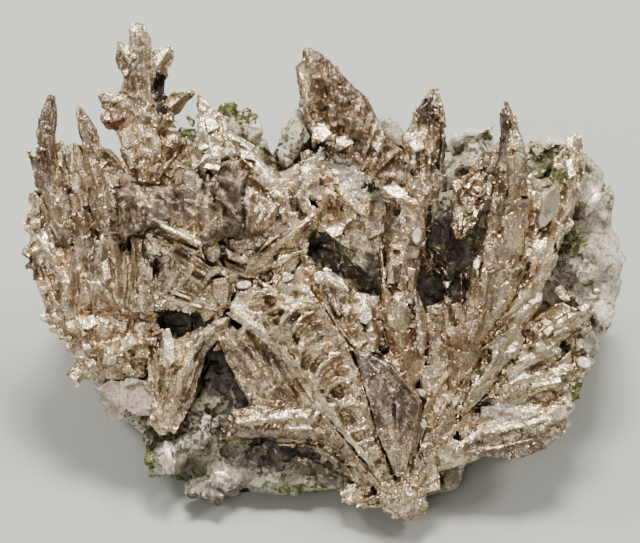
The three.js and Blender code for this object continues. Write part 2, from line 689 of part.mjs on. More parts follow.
let inFront = null;
for (const [name, material, build] of SILVER) {
  const whole = build(0);
  addPiece(name, material, largestOf(inFront ? whole.subtract(inFront) : whole));
  const cleared = build(GAP);
  inFront = inFront ? inFront.add(cleared) : cleared;
}
addPiece("matrix_rock", calcite, largestOf(matrixRock().subtract(inFront)));

const specimen = new THREE.Group();
specimen.add(face);

export default specimen;
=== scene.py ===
import bpy
import math
import random
from mathutils import Matrix, Vector, noise
from mathutils.bvhtree import BVHTree


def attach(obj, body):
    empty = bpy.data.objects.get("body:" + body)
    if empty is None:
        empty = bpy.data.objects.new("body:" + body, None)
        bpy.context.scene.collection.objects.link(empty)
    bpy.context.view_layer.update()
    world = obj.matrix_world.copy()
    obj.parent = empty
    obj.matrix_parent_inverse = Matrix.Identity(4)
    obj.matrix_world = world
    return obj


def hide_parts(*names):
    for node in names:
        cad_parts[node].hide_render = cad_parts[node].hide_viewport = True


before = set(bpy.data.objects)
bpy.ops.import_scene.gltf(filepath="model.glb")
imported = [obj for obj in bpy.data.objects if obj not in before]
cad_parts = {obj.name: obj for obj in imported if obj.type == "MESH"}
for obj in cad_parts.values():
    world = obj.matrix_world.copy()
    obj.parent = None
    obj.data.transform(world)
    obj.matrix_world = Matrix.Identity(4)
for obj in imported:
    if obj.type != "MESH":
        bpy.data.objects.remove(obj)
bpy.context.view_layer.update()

FACE_LEAN = 40  # degrees from the table
FACE_MIDDLE = (-4, -1, 40)  # where u, v, w = 0 lies, in millimetres
LEAN = Matrix.Rotation(math.radians(FACE_LEAN), 4, "X")
TO_TABLE = Matrix.Scale(0.001, 4) @ Matrix.Translation(FACE_MIDDLE) @ LEAN
TO_FACE = TO_TABLE.inverted()
UP = Vector((0, 0, 1))
DOWN = Vector((0, 0, -1))
FACE_OUT = (LEAN @ UP).to_3d()
HIGH_UP = 80  # above every crystal, for looking down at the face

# ---- hand tools ---------------------------------------------------------------------------------


def only(piece):
    bpy.ops.object.select_all(action="DESELECT")
    piece.select_set(True)
    bpy.context.view_layer.objects.active = piece


def edit(piece):
    """Opens a piece for editing with everything selected."""
    only(piece)
    bpy.ops.object.mode_set(mode="EDIT")
    bpy.ops.mesh.select_all(action="SELECT")


def edit_faces(piece, chosen):
    """Opens a piece for editing with only the faces selected whose normal is chosen."""
    edit(piece)
    bpy.ops.mesh.select_all(action="DESELECT")
    bpy.ops.object.mode_set(mode="OBJECT")
    for polygon in piece.data.polygons:
        polygon.select = chosen(polygon.normal)
    bpy.ops.object.mode_set(mode="EDIT")


def close():
    bpy.ops.object.mode_set(mode="OBJECT")
    return bpy.context.object


def modify(piece, kind, **settings):
    """Gives a piece one modifier and applies it."""
    modifier = piece.modifiers.new(kind.lower(), kind)
    for setting, value in settings.items():
        setattr(modifier, setting, value)
    only(piece)
    bpy.ops.object.modifier_apply(modifier=modifier.name)


def join(parts):
    bpy.ops.object.select_all(action="DESELECT")
    for part in parts:
        part.select_set(True)
    bpy.context.view_layer.objects.active = parts[0]
    bpy.ops.object.join()
    return parts[0]


def copy_of(master):
    made = master.copy()
    made.data = master.data.copy()
    bpy.context.collection.objects.link(made)
    return made


def rough_out(node):
    """The plain solid of a node, laid on the face in millimetres as the core of its crystals."""
    core = copy_of(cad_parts[node])
    core.name = node + "_core"
    core.parent = None
    core.data.transform(TO_FACE)
    core.matrix_world = Matrix.Identity(4)
    edit(core)
    bpy.ops.mesh.remove_doubles(threshold=0.0001)
    return close()


def weld(piece, size):
    """Grows the overlapping crystals of a piece into one skin with a mesh of this size."""
    modify(piece, "REMESH", mode="VOXEL", voxel_size=size)


def cut_foot(piece):
    """Cuts off flat what hangs below the table's level."""
    if min(vertex.co.z for vertex in piece.data.vertices) < 0:
        edit(piece)
        bpy.ops.mesh.bisect(plane_co=(0, 0, 0), plane_no=(0, 0, 1), use_fill=True, clear_inner=True)
        close()


def each(make, *rows, **same):
    """Makes one thing for every row; same holds what the rows have in common."""
    for row in rows:
        make(*row, **same)


# ---- single crystals ----------------------------------------------------------------------------

POINT = 0.08  # length of a needle's point, as a share of the needle


def needle_crystal():
    """A four-sided crystal that lies along Y from 0 to 1, with a ridge on top and a point at each end."""
    bpy.ops.object.select_all(action="DESELECT")
    bpy.ops.mesh.primitive_cylinder_add(
        vertices=4, radius=1, depth=1 - 2 * POINT, end_fill_type="NGON",
        location=(0, 0.5, 0), rotation=(math.pi / 2, 0, 0),
    )
    bpy.ops.object.transform_apply(location=True, rotation=True, scale=True)
    crystal = bpy.context.object
    for end in (-1, 1):
        edit_faces(crystal, lambda normal: normal.y * end > 0.9)
        bpy.ops.mesh.extrude_region_move(TRANSFORM_OT_translate={"value": (0, end * POINT, 0)})
        bpy.ops.transform.resize(value=(0.35, 1, 0.35), center_override=(0, 0.5 + end * 0.5, 0))
        close()
    crystal.name = "needle_crystal"
    return crystal


def block_crystal():
    """A cube of silver with its corners grown off, one unit in radius."""
    bpy.ops.object.select_all(action="DESELECT")
    bpy.ops.mesh.primitive_cube_add(size=1.4)
    crystal = bpy.context.object
    edit(crystal)
    bpy.ops.mesh.bevel(offset=0.36, affect="VERTICES")
    close()
    crystal.name = "block_crystal"
    return crystal


NEEDLE = needle_crystal()
BLOCK = block_crystal()


def needle(start, end, widths, thick):
    """A needle crystal from start to end, as wide at its ends as widths and lying flat on the face."""
    made = copy_of(NEEDLE)
    along = end - start
    out = UP - along * (along.z / along.length_squared)
    out.normalize()
    across = along.cross(out).normalized()
    for vertex in made.data.vertices:
        x, y, z = vertex.co
        width = widths[0] + (widths[1] - widths[0]) * min(max(y, 0), 1)
        high = thick * (0.45 + 0.55 * width / max(widths))
        vertex.co = start + along * y + across * (x * width / 2) + out * (z * high / 2)
    return made


def block(place, radius, turn, squash):
    made = copy_of(BLOCK)
    made.data.transform(
        Matrix.Translation(place) @ Matrix.Diagonal((*squash, 1)) @ turn.to_4x4() @ Matrix.Scale(radius, 4)
    )
    return made


def prism(outline, base, high):
    """A flat slab with a cut outline, standing on base."""
    bpy.ops.object.select_all(action="DESELECT")
    bpy.ops.mesh.primitive_circle_add(vertices=len(outline), fill_type="NGON")
    slab = bpy.context.object
    for vertex, (u, v) in zip(slab.data.vertices, outline):
        vertex.co = (u, v, base)
    edit(slab)
    bpy.ops.mesh.extrude_region_move(TRANSFORM_OT_translate={"value": (0, 0, high)})
    bpy.ops.mesh.select_all(action="SELECT")
    bpy.ops.mesh.normals_make_consistent(inside=False)
    return close()


def clean_plate(outline, base, high):
    """A slab with the edge of its top cut back, as on a well-grown crystal."""
    plate = prism(outline, base, high)
    edit_faces(plate, lambda normal: normal.z > 0.9)
    bpy.ops.mesh.inset(thickness=0.3)
    bpy.ops.transform.translate(value=(0, 0, 0.25))
    return close()


def oval(u, v, half_wide, half_high, turn=0):
    """The outline of an oval with ten sides, turned in degrees."""
    cos, sin = math.cos(math.radians(turn)), math.sin(math.radians(turn))
    angles = (math.tau * step / 10 for step in range(10))
    corners = [(half_wide * math.cos(angle), half_high * math.sin(angle)) for angle in angles]
    return [(u + x * cos - y * sin, v + x * sin + y * cos) for x, y in corners]


def middle(outline):
    """The mean of an outline's corners."""
    return Vector((sum(u for u, _ in outline), sum(v for _, v in outline), 0)) / len(outline)


def inside(outline, u, v):
    odd = False
    for (u0, v0), (u1, v1) in zip(outline, outline[1:] + outline[:1]):
        if (v0 > v) != (v1 > v) and u < u0 + (v - v0) * (u1 - u0) / (v1 - v0):
            odd = not odd
    return odd


# ---- the solids that the crystals grow on -------------------------------------------------------

SOLIDS = {node: rough_out(node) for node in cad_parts}
SOLID_GRAIN = 0.7  # mesh size of a solid that is drawn out over its cracks
CRACK_REACH = 4  # widest crack between two solids that is closed


def whole_skin():
    """One skin of all the solids, and the node that each of its faces belongs to."""
    points, faces, owners = [], [], []
    for node, solid in SOLIDS.items():
        first = len(points)
        points += [vertex.co.copy() for vertex in solid.data.vertices]
        faces += [[first + i for i in polygon.vertices] for polygon in solid.data.polygons]
        owners += [node] * len(solid.data.polygons)
    return BVHTree.FromPolygons(points, faces), owners


def meet_neighbours(node):
    """Draws the sides of a solid out over the cracks between it and the solids beside it."""
    solid = SOLIDS[node]
    weld(solid, SOLID_GRAIN)
    for vertex, normal in zip(solid.data.vertices, solid.data.vertex_normals):
        out = normal.vector
        place, _, face, far = ALL_SKIN.ray_cast(vertex.co + out * 0.05, out, CRACK_REACH)
        if place and OWNERS[face] != node:
            vertex.co += out * (far * 0.5 + 0.5)


ALL_SKIN, OWNERS = whole_skin()
for node in SOLIDS:
    if node != "matrix_rock":
        meet_neighbours(node)
depsgraph = bpy.context.evaluated_depsgraph_get()
SKINS = {node: BVHTree.FromObject(solid, depsgraph) for node, solid in SOLIDS.items()}

# ---- nodes --------------------------------------------------------------------------------------


def feed(tree, node, inputs):
    """Gives a node its inputs, by name or number: the outputs of other nodes or plain values."""
    for socket, value in inputs.items():
        if isinstance(value, bpy.types.NodeSocket):
            tree.links.new(value, node.inputs[socket])
        else:
            node.inputs[socket].default_value = value


def add(tree, kind, inputs, **settings):
    """A new node with its inputs fed."""
    made = tree.nodes.new(kind)
    for setting, value in settings.items():
        setattr(made, setting, value)
    feed(tree, made, inputs)
    return made


def maths(tree, operation, a, b):
    return add(tree, "ShaderNodeMath", {0: a, 1: b}, operation=operation).outputs[0]


def vector(tree, operation, a, b):
    inputs = {0: a, "Scale": b} if operation == "SCALE" else {0: a, 1: b}
    return add(tree, "ShaderNodeVectorMath", inputs, operation=operation).outputs["Vector"]


def cutter(name, sizes):
    """An empty geometry node tree with sockets for its sizes, and what it is given."""
    tree = bpy.data.node_groups.new(name, "GeometryNodeTree")
    for socket, kind in (("Geometry", "Geometry"), *sizes):
        tree.interface.new_socket(socket, in_out="INPUT", socket_type="NodeSocket" + kind)
    tree.interface.new_socket("Geometry", in_out="OUTPUT", socket_type="NodeSocketGeometry")
    place = add(tree, "GeometryNodeInputPosition", {}).outputs[0]
    return tree, add(tree, "NodeGroupInput", {}).outputs, place


def push_out(tree, given, height):
    """Ends a cutter: every point moves along its normal by height."""
    normal = add(tree, "GeometryNodeInputNormal", {}).outputs[0]
    push = vector(tree, "SCALE", normal, height)
    moved = add(tree, "GeometryNodeSetPosition", {"Geometry": given["Geometry"], "Offset": push})
    add(tree, "NodeGroupOutput", {0: moved.outputs[0]})
    return tree


FAN_RADIUS = 40  # turns the angle around a root into millimetres


def face_cutter():
    """Breaks a skin into small tilted faces, as wide as Size and as deep as Depth."""
    tree, given, place = cutter("crystal_faces", (("Size", "Float"), ("Depth", "Float")))
    fineness = maths(tree, "DIVIDE", 1, given["Size"])
    cells = add(tree, "ShaderNodeTexVoronoi", {"Vector": place, "Scale": fineness}).outputs
    within = vector(tree, "SUBTRACT", place, cells["Position"])
    lean = vector(tree, "SUBTRACT", cells["Color"], (0.5, 0.5, 0.5))
    height = add(tree, "ShaderNodeVectorMath", {0: within, 1: lean}, operation="DOT_PRODUCT").outputs["Value"]
    return push_out(tree, given, maths(tree, "MULTIPLY", height, given["Depth"]))


def ridge_cutter():
    """Raises sharp ridges that run out from Root, as Long and Wide as given and Depth high."""
    sizes = (("Root", "Vector"), ("Long", "Float"), ("Wide", "Float"), ("Depth", "Float"))
    tree, given, place = cutter("crystal_ridges", sizes)
    from_root = vector(tree, "SUBTRACT", place, given["Root"])
    u, v, w = add(tree, "ShaderNodeSeparateXYZ", {0: from_root}).outputs
    squares = (maths(tree, "MULTIPLY", u, u), maths(tree, "MULTIPLY", v, v))
    far = maths(tree, "POWER", maths(tree, "ADD", *squares), 0.5)
    across = maths(tree, "MULTIPLY", maths(tree, "ARCTAN2", v, u), FAN_RADIUS)
    deep = maths(tree, "DIVIDE", w, maths(tree, "MULTIPLY", given["Wide"], 2))
    along = maths(tree, "DIVIDE", far, given["Long"])
    around = maths(tree, "DIVIDE", across, given["Wide"])
    grain = add(tree, "ShaderNodeCombineXYZ", {0: along, 1: around, 2: deep}).outputs[0]
    ridges = add(
        tree, "ShaderNodeTexNoise", {"Scale": 0.6, "Detail": 2, "Vector": grain},
        noise_type="RIDGED_MULTIFRACTAL", normalize=True,
    ).outputs["Fac"]
    height = maths(tree, "MULTIPLY", maths(tree, "SUBTRACT", ridges, 0.25), given["Depth"])
    return push_out(tree, given, height)


FACE_CUTTER = face_cutter()
RIDGE_CUTTER = ridge_cutter()


def cut(piece, tool, *sizes):
    """Runs a cutter over a piece, with its sizes in their order."""
    cutting = piece.modifiers.new("cutting", "NODES")
    cutting.node_group = tool
    for number, size in enumerate(sizes, 1):
        cutting["Socket_%d" % number] = size if isinstance(size, tuple) else float(size)
    only(piece)
    bpy.ops.object.modifier_apply(modifier=cutting.name)


# ---- growing a piece ----------------------------------------------------------------------------

SILVER_GRAIN = 0.36  # mesh size of a welded piece of silver
EDGE_LEVEL = 3  # height at which the nearest edge of a solid is looked for
STEP_UP = 2  # furthest that a crystal beside its solid stands over that edge
SUNK = 1.2  # how deep a clean plate stands in the skin
PAINTED_HIGHLIGHT_REACH = 3  # how far up the painted highlight on crests reaches
OVERLAP = 0.8  # how far one crystal of a blade runs on past the next one's start
STONE_BACK, BACK_EDGE = -20, 7  # behind this level the stone carries no patches of other finishes, and how ragged that limit is
WIDEST_PATCH = 1.4  # square of how far the rags of a patch reach
PATCH_FINENESS = 1.1


def ragged(x, y):
    """How far out the edge of a patch of another finish runs at a place, about 1."""
    return 1 + 0.5 * math.sin(3.1 * x + 1.7 * y) * math.sin(2.3 * y - x)


class Growth:
    """One piece while it is built up from single crystals. Every path is given on the face, as (u, v, width),
    and is laid on the surface that is already there, with its ridge standing up by lift."""

    def __init__(self, node):
        self.node = node
        self.parts = [SOLIDS[node]]
        self.chance = random.Random(node)
        self.stain_and_light_patches = []
        self.plates = []
        self.beds = []

    def ground(self, u, v):
        """How high the plain solid and its slabs stand at a place, or None beside them."""
        own = SKINS[self.node].ray_cast(Vector((u, v, HIGH_UP)), DOWN)[0]
        found = [own.z] if own else []
        found += [level for outline, level in self.beds if inside(outline, u, v)]
        return max(found, default=None)

    def surface(self, u, v):
        """The ground, or the surface of whatever stands beside the piece."""
        found = self.ground(u, v)
        if found is not None:
            return found
        others = [skin.ray_cast(Vector((u, v, HIGH_UP)), DOWN)[0] for skin in SKINS.values()]
        tops = [hit.z for hit in others if hit]
        near = SKINS[self.node].find_nearest(Vector((u, v, EDGE_LEVEL)))[0]
        return min(max(tops), near.z + STEP_UP) if tops else near.z

    def bed(self, outline, level, deep=5):
        """A slab of silver at its own height, for crystals to grow on where the solid leaves stone bare."""
        self.parts.append(prism(outline, level - deep, deep))
        self.beds.append((outline, level))

    def blade(self, path, thick=3.0, lift=0.5):
        """A ridged blade, crystal by crystal along its path."""
        spots = [Vector((u, v, self.surface(u, v) + lift + 0.5 - thick / 2)) for u, v, _ in path]
        last = len(spots) - 2
        for i, (a, b) in enumerate(zip(spots, spots[1:])):
            widths = (path[i][2], path[i + 1][2])
            over = (b - a) * min(0.2, OVERLAP / (b - a).length)
            self.parts.append(needle(a - over if i else a, b + over if i < last else b, widths, thick))

    def knob(self, u, v, radius, lift=0.5, squash=(1, 1, 1)):
        """A stout single crystal, its top standing up by lift."""
        place = Vector((u, v, self.surface(u, v) + lift - radius * squash[2] * 0.8))
        x, y, z = (Matrix.Rotation(self.chance.uniform(-3, 3), 3, axis) for axis in "XYZ")
        self.parts.append(block(place, radius, x @ y @ z, squash))

    def crumbs(self, u, v, reach, count, size=1.0, lift=0.3):
        """A crust of small crystals over a patch of the surface; reach is its half width and half height."""
        for _ in range(count):
            angle = self.chance.uniform(0, 2 * math.pi)
            out = math.sqrt(self.chance.random())
            x = u + reach[0] * out * math.cos(angle)
            y = v + reach[1] * out * math.sin(angle)
            radius = size * self.chance.uniform(0.6, 1.35)
            self.knob(x, y, radius, lift + self.chance.uniform(-0.2, 0.5) * size)

    def sheet(self, outline, thick=1.6, lift=0.4, tilt=(0, 0)):
        """A flat leaf with a cut outline, tilted by rises along u and v."""
        centre = middle(outline)
        level = sum(self.surface(u, v) for u, v in outline) / len(outline)
        leaf = prism(outline, 0, thick)
        for vertex in leaf.data.vertices:
            rise = tilt[0] * (vertex.co.x - centre.x) + tilt[1] * (vertex.co.y - centre.y)
            vertex.co.z += level + lift + rise - thick
        self.parts.append(leaf)

    def stain_and_painted_light(self, finish, u, v, reach, share=1.0):
        """Another finish over a patch of the surface: a real stain, painted shade or a painted highlight;
        reach is its half width and half height.
        """
        self.stain_and_light_patches.append((finish, u, v, reach, share))

    def plate(self, finish, outline, lift=0.6, slope=(0, -0.25)):
        """A clean crystal plate that keeps its flat faces; slope is how far it rises along u and v."""
        self.plates.append((finish, outline, lift, slope))

    def set_plates(self, piece):
        """Stands every clean plate on the broken skin, partly sunk in it."""
        bpy.context.view_layer.update()
        made = []
        for finish, outline, lift, (along_u, along_v) in self.plates:
            u, v, _ = middle(outline)
            hit, place, _, _ = piece.ray_cast(Vector((u, v, HIGH_UP)), DOWN)
            if hit:
                plate = clean_plate(outline, place.z - SUNK, SUNK + lift)
                for vertex in plate.data.vertices:
                    vertex.co.z += (vertex.co.x - u) * along_u + (vertex.co.y - v) * along_v
                plate.data.materials.append(finish)
                made.append(plate)
        return join([piece, *made]) if made else piece

    def paint(self, piece, finish, chosen):
        """Gives a finish to the faces whose middle is chosen."""
        if finish.name not in piece.data.materials:
            piece.data.materials.append(finish)
        index = piece.data.materials.find(finish.name)
        for polygon in piece.data.polygons:
            if chosen(polygon.center, index):
                polygon.material_index = index

    def at_back(self, spot):
        return spot.z < BACK_EDGE * noise.noise(spot * 0.2) + STONE_BACK

    def in_stain_and_light_patch(self, spot, index, u, v, reach, share):
        """Whether a spot lies in a patch of another finish, which is a real stain, painted shade or a painted
        highlight; a share below 1 leaves bare patches, and the back stays plain.
        """
        far = ((spot.x - u) / reach[0]) ** 2 + ((spot.y - v) / reach[1]) ** 2
        if far >= WIDEST_PATCH or far >= ragged(spot.x, spot.y) or self.at_back(spot):
            return False
        patch = spot * PATCH_FINENESS + Vector((index * 7.3, u, v))
        return share == 1 or noise.noise(patch) * 0.9 + 0.5 < share

    def rise(self, spot):
        """How far a spot stands over the ground, or None beside it."""
        ground = self.ground(spot.x, spot.y)
        return None if ground is None else spot.z - ground

    def finish(
        self, slot, finish, root, ridges=((10, 1.8, 0.85),), faces=((3.4, 0.24), (1.2, 0.14)),
        grain=SILVER_GRAIN, keep=0.4, soft=0, smooth=22, low_tarnish_and_shade=None, below=0.3, painted_crest_highlight=None, above=1.1,
    ):
        """Welds the crystals, breaks the skin into ridges that leave root and into faces, and thins it.
        What lies lower than below takes a darker finish, partly tarnish and partly painted shade, and what
        stands above it a brighter one, a painted highlight on the crests."""
        piece = join(self.parts)
        weld(piece, grain)
        if soft:
            modify(piece, "SMOOTH", factor=0.5, iterations=soft)
        for long, wide, depth in ridges:
            cut(piece, RIDGE_CUTTER, (*root, 0.0), long, wide, depth)
        for size, depth in faces:
            cut(piece, FACE_CUTTER, size, depth)
        modify(piece, "DECIMATE", ratio=keep)
        piece.data.materials.clear()
        piece.data.materials.append(finish)
        # the low band is partly tarnish and partly painted shade in hollows and on walls; the high band is a
        # painted highlight on crests
        for band, low, high in ((low_tarnish_and_shade, -math.inf, below), (painted_crest_highlight, above, above + PAINTED_HIGHLIGHT_REACH)):
            if band:
                piece.data.materials.append(band)
                for polygon in piece.data.polygons:
                    rise = self.rise(polygon.center)
                    if rise is not None and low < rise < high:
                        polygon.material_index = len(piece.data.materials) - 1
        # each patch is a real stain, painted shade or a painted highlight
        for mark, *stain_and_painted_light in self.stain_and_light_patches:
            self.paint(piece, mark, lambda spot, index: self.in_stain_and_light_patch(spot, index, *stain_and_painted_light))
        piece = self.set_plates(piece)
        piece.name = "grown_" + self.node
        piece.data.transform(TO_TABLE)
        cut_foot(piece)
        only(piece)
        bpy.ops.object.shade_smooth_by_angle(angle=math.radians(smooth))
        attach(piece, "root")
        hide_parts(self.node)


# ---- finishes -----------------------------------------------------------------------------------

# How fine each pattern is, in waves or cells to the metre.
CLOUDS, PATCHES, GRAINS = 150, 520, 2200  # of tarnish, of duller crystals and of specks on silver
SEAMS, GRIT = 300, 1500  # in stone
LARGE_FACES, MIDDLE_FACES, SMALL_FACES = 330, 1100, 4200  # of silver crystals
STONE_FACES, STONE_CHIPS = 900, 2200
SILVER_SHADE_REACH, STONE_SHADE_REACH = 0.004, 0.007  # reach of the painted shade between crystals, in metres
CLEAR = (1, 1, 1)  # leaves the colour under it as it is


def setup(name):
    """A new finish with its tree, its shader and the place on the piece."""
    finish = bpy.data.materials.new(name)
    finish.use_nodes = True
    tree = finish.node_tree
    return finish, tree, tree.nodes["Principled BSDF"], add(tree, "ShaderNodeTexCoord", {}).outputs["Object"]


def pattern(tree, kind, place, scale, detail, **settings):
    inputs = {"Scale": scale, "Detail": detail, "Vector": place}
    return add(tree, "ShaderNodeTex" + kind, inputs, **settings).outputs


def ramp(tree, value, *stops):
    """Colours by value; a stop is a position and a colour."""
    made = add(tree, "ShaderNodeValToRGB", {"Fac": value})
    elements = made.color_ramp.elements
    while len(elements) < len(stops):
        elements.new(0.5)
    for element, (position, colour) in zip(elements, stops):
        element.position = position
        element.color = (*colour, 1)
    return made.outputs["Color"]


def multiply(tree, a, b, share=1.0):
    inputs = {"Factor": share, "A": a, "B": b}
    return add(tree, "ShaderNodeMix", inputs, data_type="RGBA", blend_type="MULTIPLY").outputs["Result"]


def painted_crevice_shade(tree, reach):
    """Ambient occlusion for painting shade into the colour: white in the open and dark deep between crystals.
    """
    return add(tree, "ShaderNodeAmbientOcclusion", {"Distance": reach}, samples=6).outputs["AO"]


def faceted_normal(tree, place, cells):
    """The surface normal, tilted another way in each small cell, so that every cell is one crystal face."""
    normal = add(tree, "ShaderNodeNewGeometry", {}).outputs["Normal"]
    for scale, tilt in cells:
        grid = pattern(tree, "Voronoi", place, scale, 0)
        lean = vector(tree, "SUBTRACT", grid["Color"], (0.5, 0.5, 0.5))
        normal = vector(tree, "ADD", normal, vector(tree, "SCALE", lean, tilt))
    return add(tree, "ShaderNodeVectorMath", {0: normal}, operation="NORMALIZE").outputs["Vector"]


def silver(name, bright, dull, tilt=0.36, rough=0.32):
    """Silver that runs from bright to dull in clouds, with darker specks and patches, and painted shade deep
    between crystals.
    """
    finish, tree, shader, place = setup(name)
    clouds = pattern(tree, "Noise", place, CLOUDS, 8)["Fac"]
    grains = pattern(tree, "Noise", place, GRAINS, 3)["Fac"]
    patches = pattern(tree, "Voronoi", place, PATCHES, 0)["Color"]
    colour = ramp(tree, clouds, (0.38, dull), (0.58, bright))
    colour = multiply(tree, colour, ramp(tree, grains, (0.36, (0.5, 0.46, 0.41)), (0.52, CLEAR)), 0.8)
    colour = multiply(tree, colour, ramp(tree, patches, (0.2, (0.60, 0.54, 0.48)), (0.75, CLEAR)))
    # deep: how far ambient occlusion darkens the colour, painted shade between crystals
    deep = ((0.08, (0.17, 0.137, 0.108)), (0.34, (0.62, 0.56, 0.475)), (0.68, CLEAR))
    polish = {"Value": grains, "From Min": 0.3, "From Max": 0.7}
    polish.update({"To Min": rough + 0.14, "To Max": rough - 0.08})
    cells = ((SMALL_FACES, tilt * 1.3), (MIDDLE_FACES, tilt * 0.5), (LARGE_FACES, tilt * 0.45))
    feed(tree, shader, {
        "Base Color": multiply(tree, colour, ramp(tree, painted_crevice_shade(tree, SILVER_SHADE_REACH), *deep)),
        "Normal": faceted_normal(tree, place, cells),
        "Roughness": add(tree, "ShaderNodeMapRange", polish).outputs["Result"],
        "Metallic": 1,
    })
    return finish


def earth(name, stops, scale, rough, shine=0.5):
    """Stone, moss or rust: a mottled finish that is not metal, with painted shade deep between crystals."""
    finish, tree, shader, place = setup(name)
    clouds = pattern(tree, "Noise", place, scale, 9)["Fac"]
    grit = pattern(tree, "Noise", place, GRIT, 4)["Fac"]
    seams = pattern(tree, "Voronoi", place, SEAMS, 0, feature="DISTANCE_TO_EDGE")["Distance"]
    colour = ramp(tree, clouds, *stops)
    colour = multiply(tree, colour, ramp(tree, grit, (0.38, (0.56, 0.51, 0.42)), (0.5, CLEAR)))
    colour = multiply(tree, colour, ramp(tree, seams, (0.0, (0.68, 0.64, 0.56)), (0.06, CLEAR)))
    # deep: how far ambient occlusion darkens the colour, painted shade between crystals
    deep = ((0.12, (0.13, 0.115, 0.09)), (0.42, (0.58, 0.55, 0.485)), (0.75, CLEAR))
    feed(tree, shader, {
        "Base Color": multiply(tree, colour, ramp(tree, painted_crevice_shade(tree, STONE_SHADE_REACH), *deep)),
        "Normal": faceted_normal(tree, place, ((STONE_FACES, 0.25), (STONE_CHIPS, 0.2))),
        "Roughness": rough,
        "Specular IOR Level": shine,
    })
    return finish


BRIGHT = silver("bright_silver", (1.0, 0.885, 0.68), (0.76, 0.63, 0.455))
BROWN = silver("brown_silver", (0.71, 0.585, 0.43), (0.45, 0.345, 0.24))
GREY = silver("grey_silver", (0.48, 0.395, 0.315), (0.30, 0.238, 0.185), tilt=0.3)
# Dark silver of the serrated plates: partly tarnish, partly painted shade for plates turned from the light.
LEAF = silver("leaf_silver", (0.285, 0.232, 0.185), (0.17, 0.133, 0.102), tilt=0.22, rough=0.42)
GOLD = silver("gold_silver", (0.95, 0.81, 0.58), (0.66, 0.53, 0.355))
SATIN = silver("satin_silver", (0.88, 0.78, 0.615), (0.61, 0.52, 0.395))
RUSTY = silver("rusty_silver", (0.41, 0.322, 0.24), (0.24, 0.175, 0.126), tilt=0.4, rough=0.42)
PURPLE = silver("purple_silver", (0.40, 0.315, 0.28), (0.215, 0.165, 0.15), tilt=0.28)
# Near-white silver for the brightest faces, crests, ridges and plates: partly fresher silver, partly painted
# highlight.
WHITE = silver("fresh_silver_and_painted_highlight", (1.0, 0.92, 0.745), (0.98, 0.84, 0.635), tilt=0.3, rough=0.3)
# Pale silver for the bright oval plates: painted glints.
PAINTED_GLINT = silver("painted_glint_plate", (1.0, 0.955, 0.86), (0.98, 0.92, 0.81), tilt=0.1, rough=0.36)
# Near-black silver set into slits, gaps and holes: painted shade.
PAINTED_GAP_SHADE = silver("painted_gap_shade_silver", (0.10, 0.085, 0.075), (0.03, 0.025, 0.022), tilt=0.4)
MOSS = earth(
    "green_chlorite",
    ((0.3, (0.03, 0.035, 0.01)), (0.5, (0.11, 0.12, 0.03)), (0.7, (0.24, 0.24, 0.09))), 900, 0.8,
)
RUST = earth("rust", ((0.3, (0.06, 0.02, 0.01)), (0.7, (0.25, 0.11, 0.05))), 900, 0.7)
CALCITE = earth(
    "calcite",
    ((0.28, (0.25, 0.225, 0.17)), (0.42, (0.47, 0.43, 0.35)),
     (0.56, (0.64, 0.59, 0.49)), (0.72, (0.86, 0.80, 0.68))), 140, 0.42,
)
DULL_CALCITE = earth(
    "grey_calcite",
    ((0.3, (0.10, 0.095, 0.07)), (0.5, (0.25, 0.24, 0.195)), (0.68, (0.45, 0.435, 0.37))), 170, 0.45,
)
WHITE_CALCITE = earth("white_calcite", ((0.3, (0.58, 0.55, 0.47)), (0.65, (0.86, 0.83, 0.76))), 260, 0.3, 0.7)
PINK_CALCITE = earth("pink_calcite", ((0.3, (0.38, 0.31, 0.26)), (0.7, (0.66, 0.56, 0.49))), 160, 0.35, 0.6)
GREEN_CALCITE = earth("green_calcite", ((0.3, (0.19, 0.20, 0.12)), (0.7, (0.46, 0.47, 0.34))), 200, 0.45)
# Near-black stone for cavities and the foot of the stone: painted shade.
SHADE = earth(
    "painted_shade_stone",
    ((0.35, (0.03, 0.022, 0.018)), (0.52, (0.11, 0.09, 0.075)), (0.7, (0.3, 0.265, 0.225))), 420, 0.5,
)


# ---- silver, from the left ----------------------------------------------------------------------


def outer_spike():
    """The spike at the left edge, finished in dark grey: painted shade, as its face is turned from the light.
    """
    grown = Growth("outer_spike")
    each(grown.bed,
         ([(-62.9, 40.6), (-61, 40.5), (-60.4, 36), (-60.8, 31), (-60.9, 27), (-60.4, 24), (-64.8, 24),
           (-65.5, 27), (-65, 30.2), (-65.5, 31.4), (-65, 34.4), (-63.7, 37.4), (-63.4, 39.4)], 6, 3),
         ([(-60.4, 25), (-58.4, 19.6), (-57, 14), (-61, 13), (-64.4, 18), (-65.4, 21.4),
           (-64.8, 25)], 4.6, 3),
         ([(-67.8, 27.8), (-66.6, 27.6), (-65, 25), (-64.4, 22), (-65.6, 19.6), (-66.4, 24.2),
           (-67.4, 26.2)], 3.8, 2))
    each(grown.blade,
         ([(-61.2, 40.2, 1.2), (-60.9, 36, 1.7), (-61.5, 31, 1.9), (-62, 26, 1.9), (-60, 19.6, 1.6)], 2, 0.7),
         ([(-63, 39, 1.4), (-63.6, 34, 2.4), (-63.8, 28, 2.4), (-63, 23, 2.4)], 2, 0.3),
         ([(-64.4, 23, 2.2), (-62.4, 18.5, 3.6), (-59.6, 12, 4.6), (-58, 8, 4)], 2.4, 0.3))
    each(grown.knob,
         (-64.3, 35, 1), (-64.8, 31.8, 1.1), (-65, 28.6, 1.1), (-64.8, 25.8, 1), (-62, 40.2, 1.1),
         (-66.9, 27.4, 0.8), (-65.4, 22.4, 1.1), (-65.2, 20.2, 1.1), lift=0.4)
    each(grown.stain_and_painted_light,
         (WHITE, -61.5, 40.9, (1.4, 0.6)), (WHITE, -66.8, 27.2, (1.4, 0.8)), (GOLD, -60.6, 22, (1.3, 6)),
         (BROWN, -60.6, 14, (5, 5)))
    # the dark grey finish is painted shade
    grown.finish("silver_grey", GREY, (-55, -30), ridges=((8, 1.8, 0.7),))


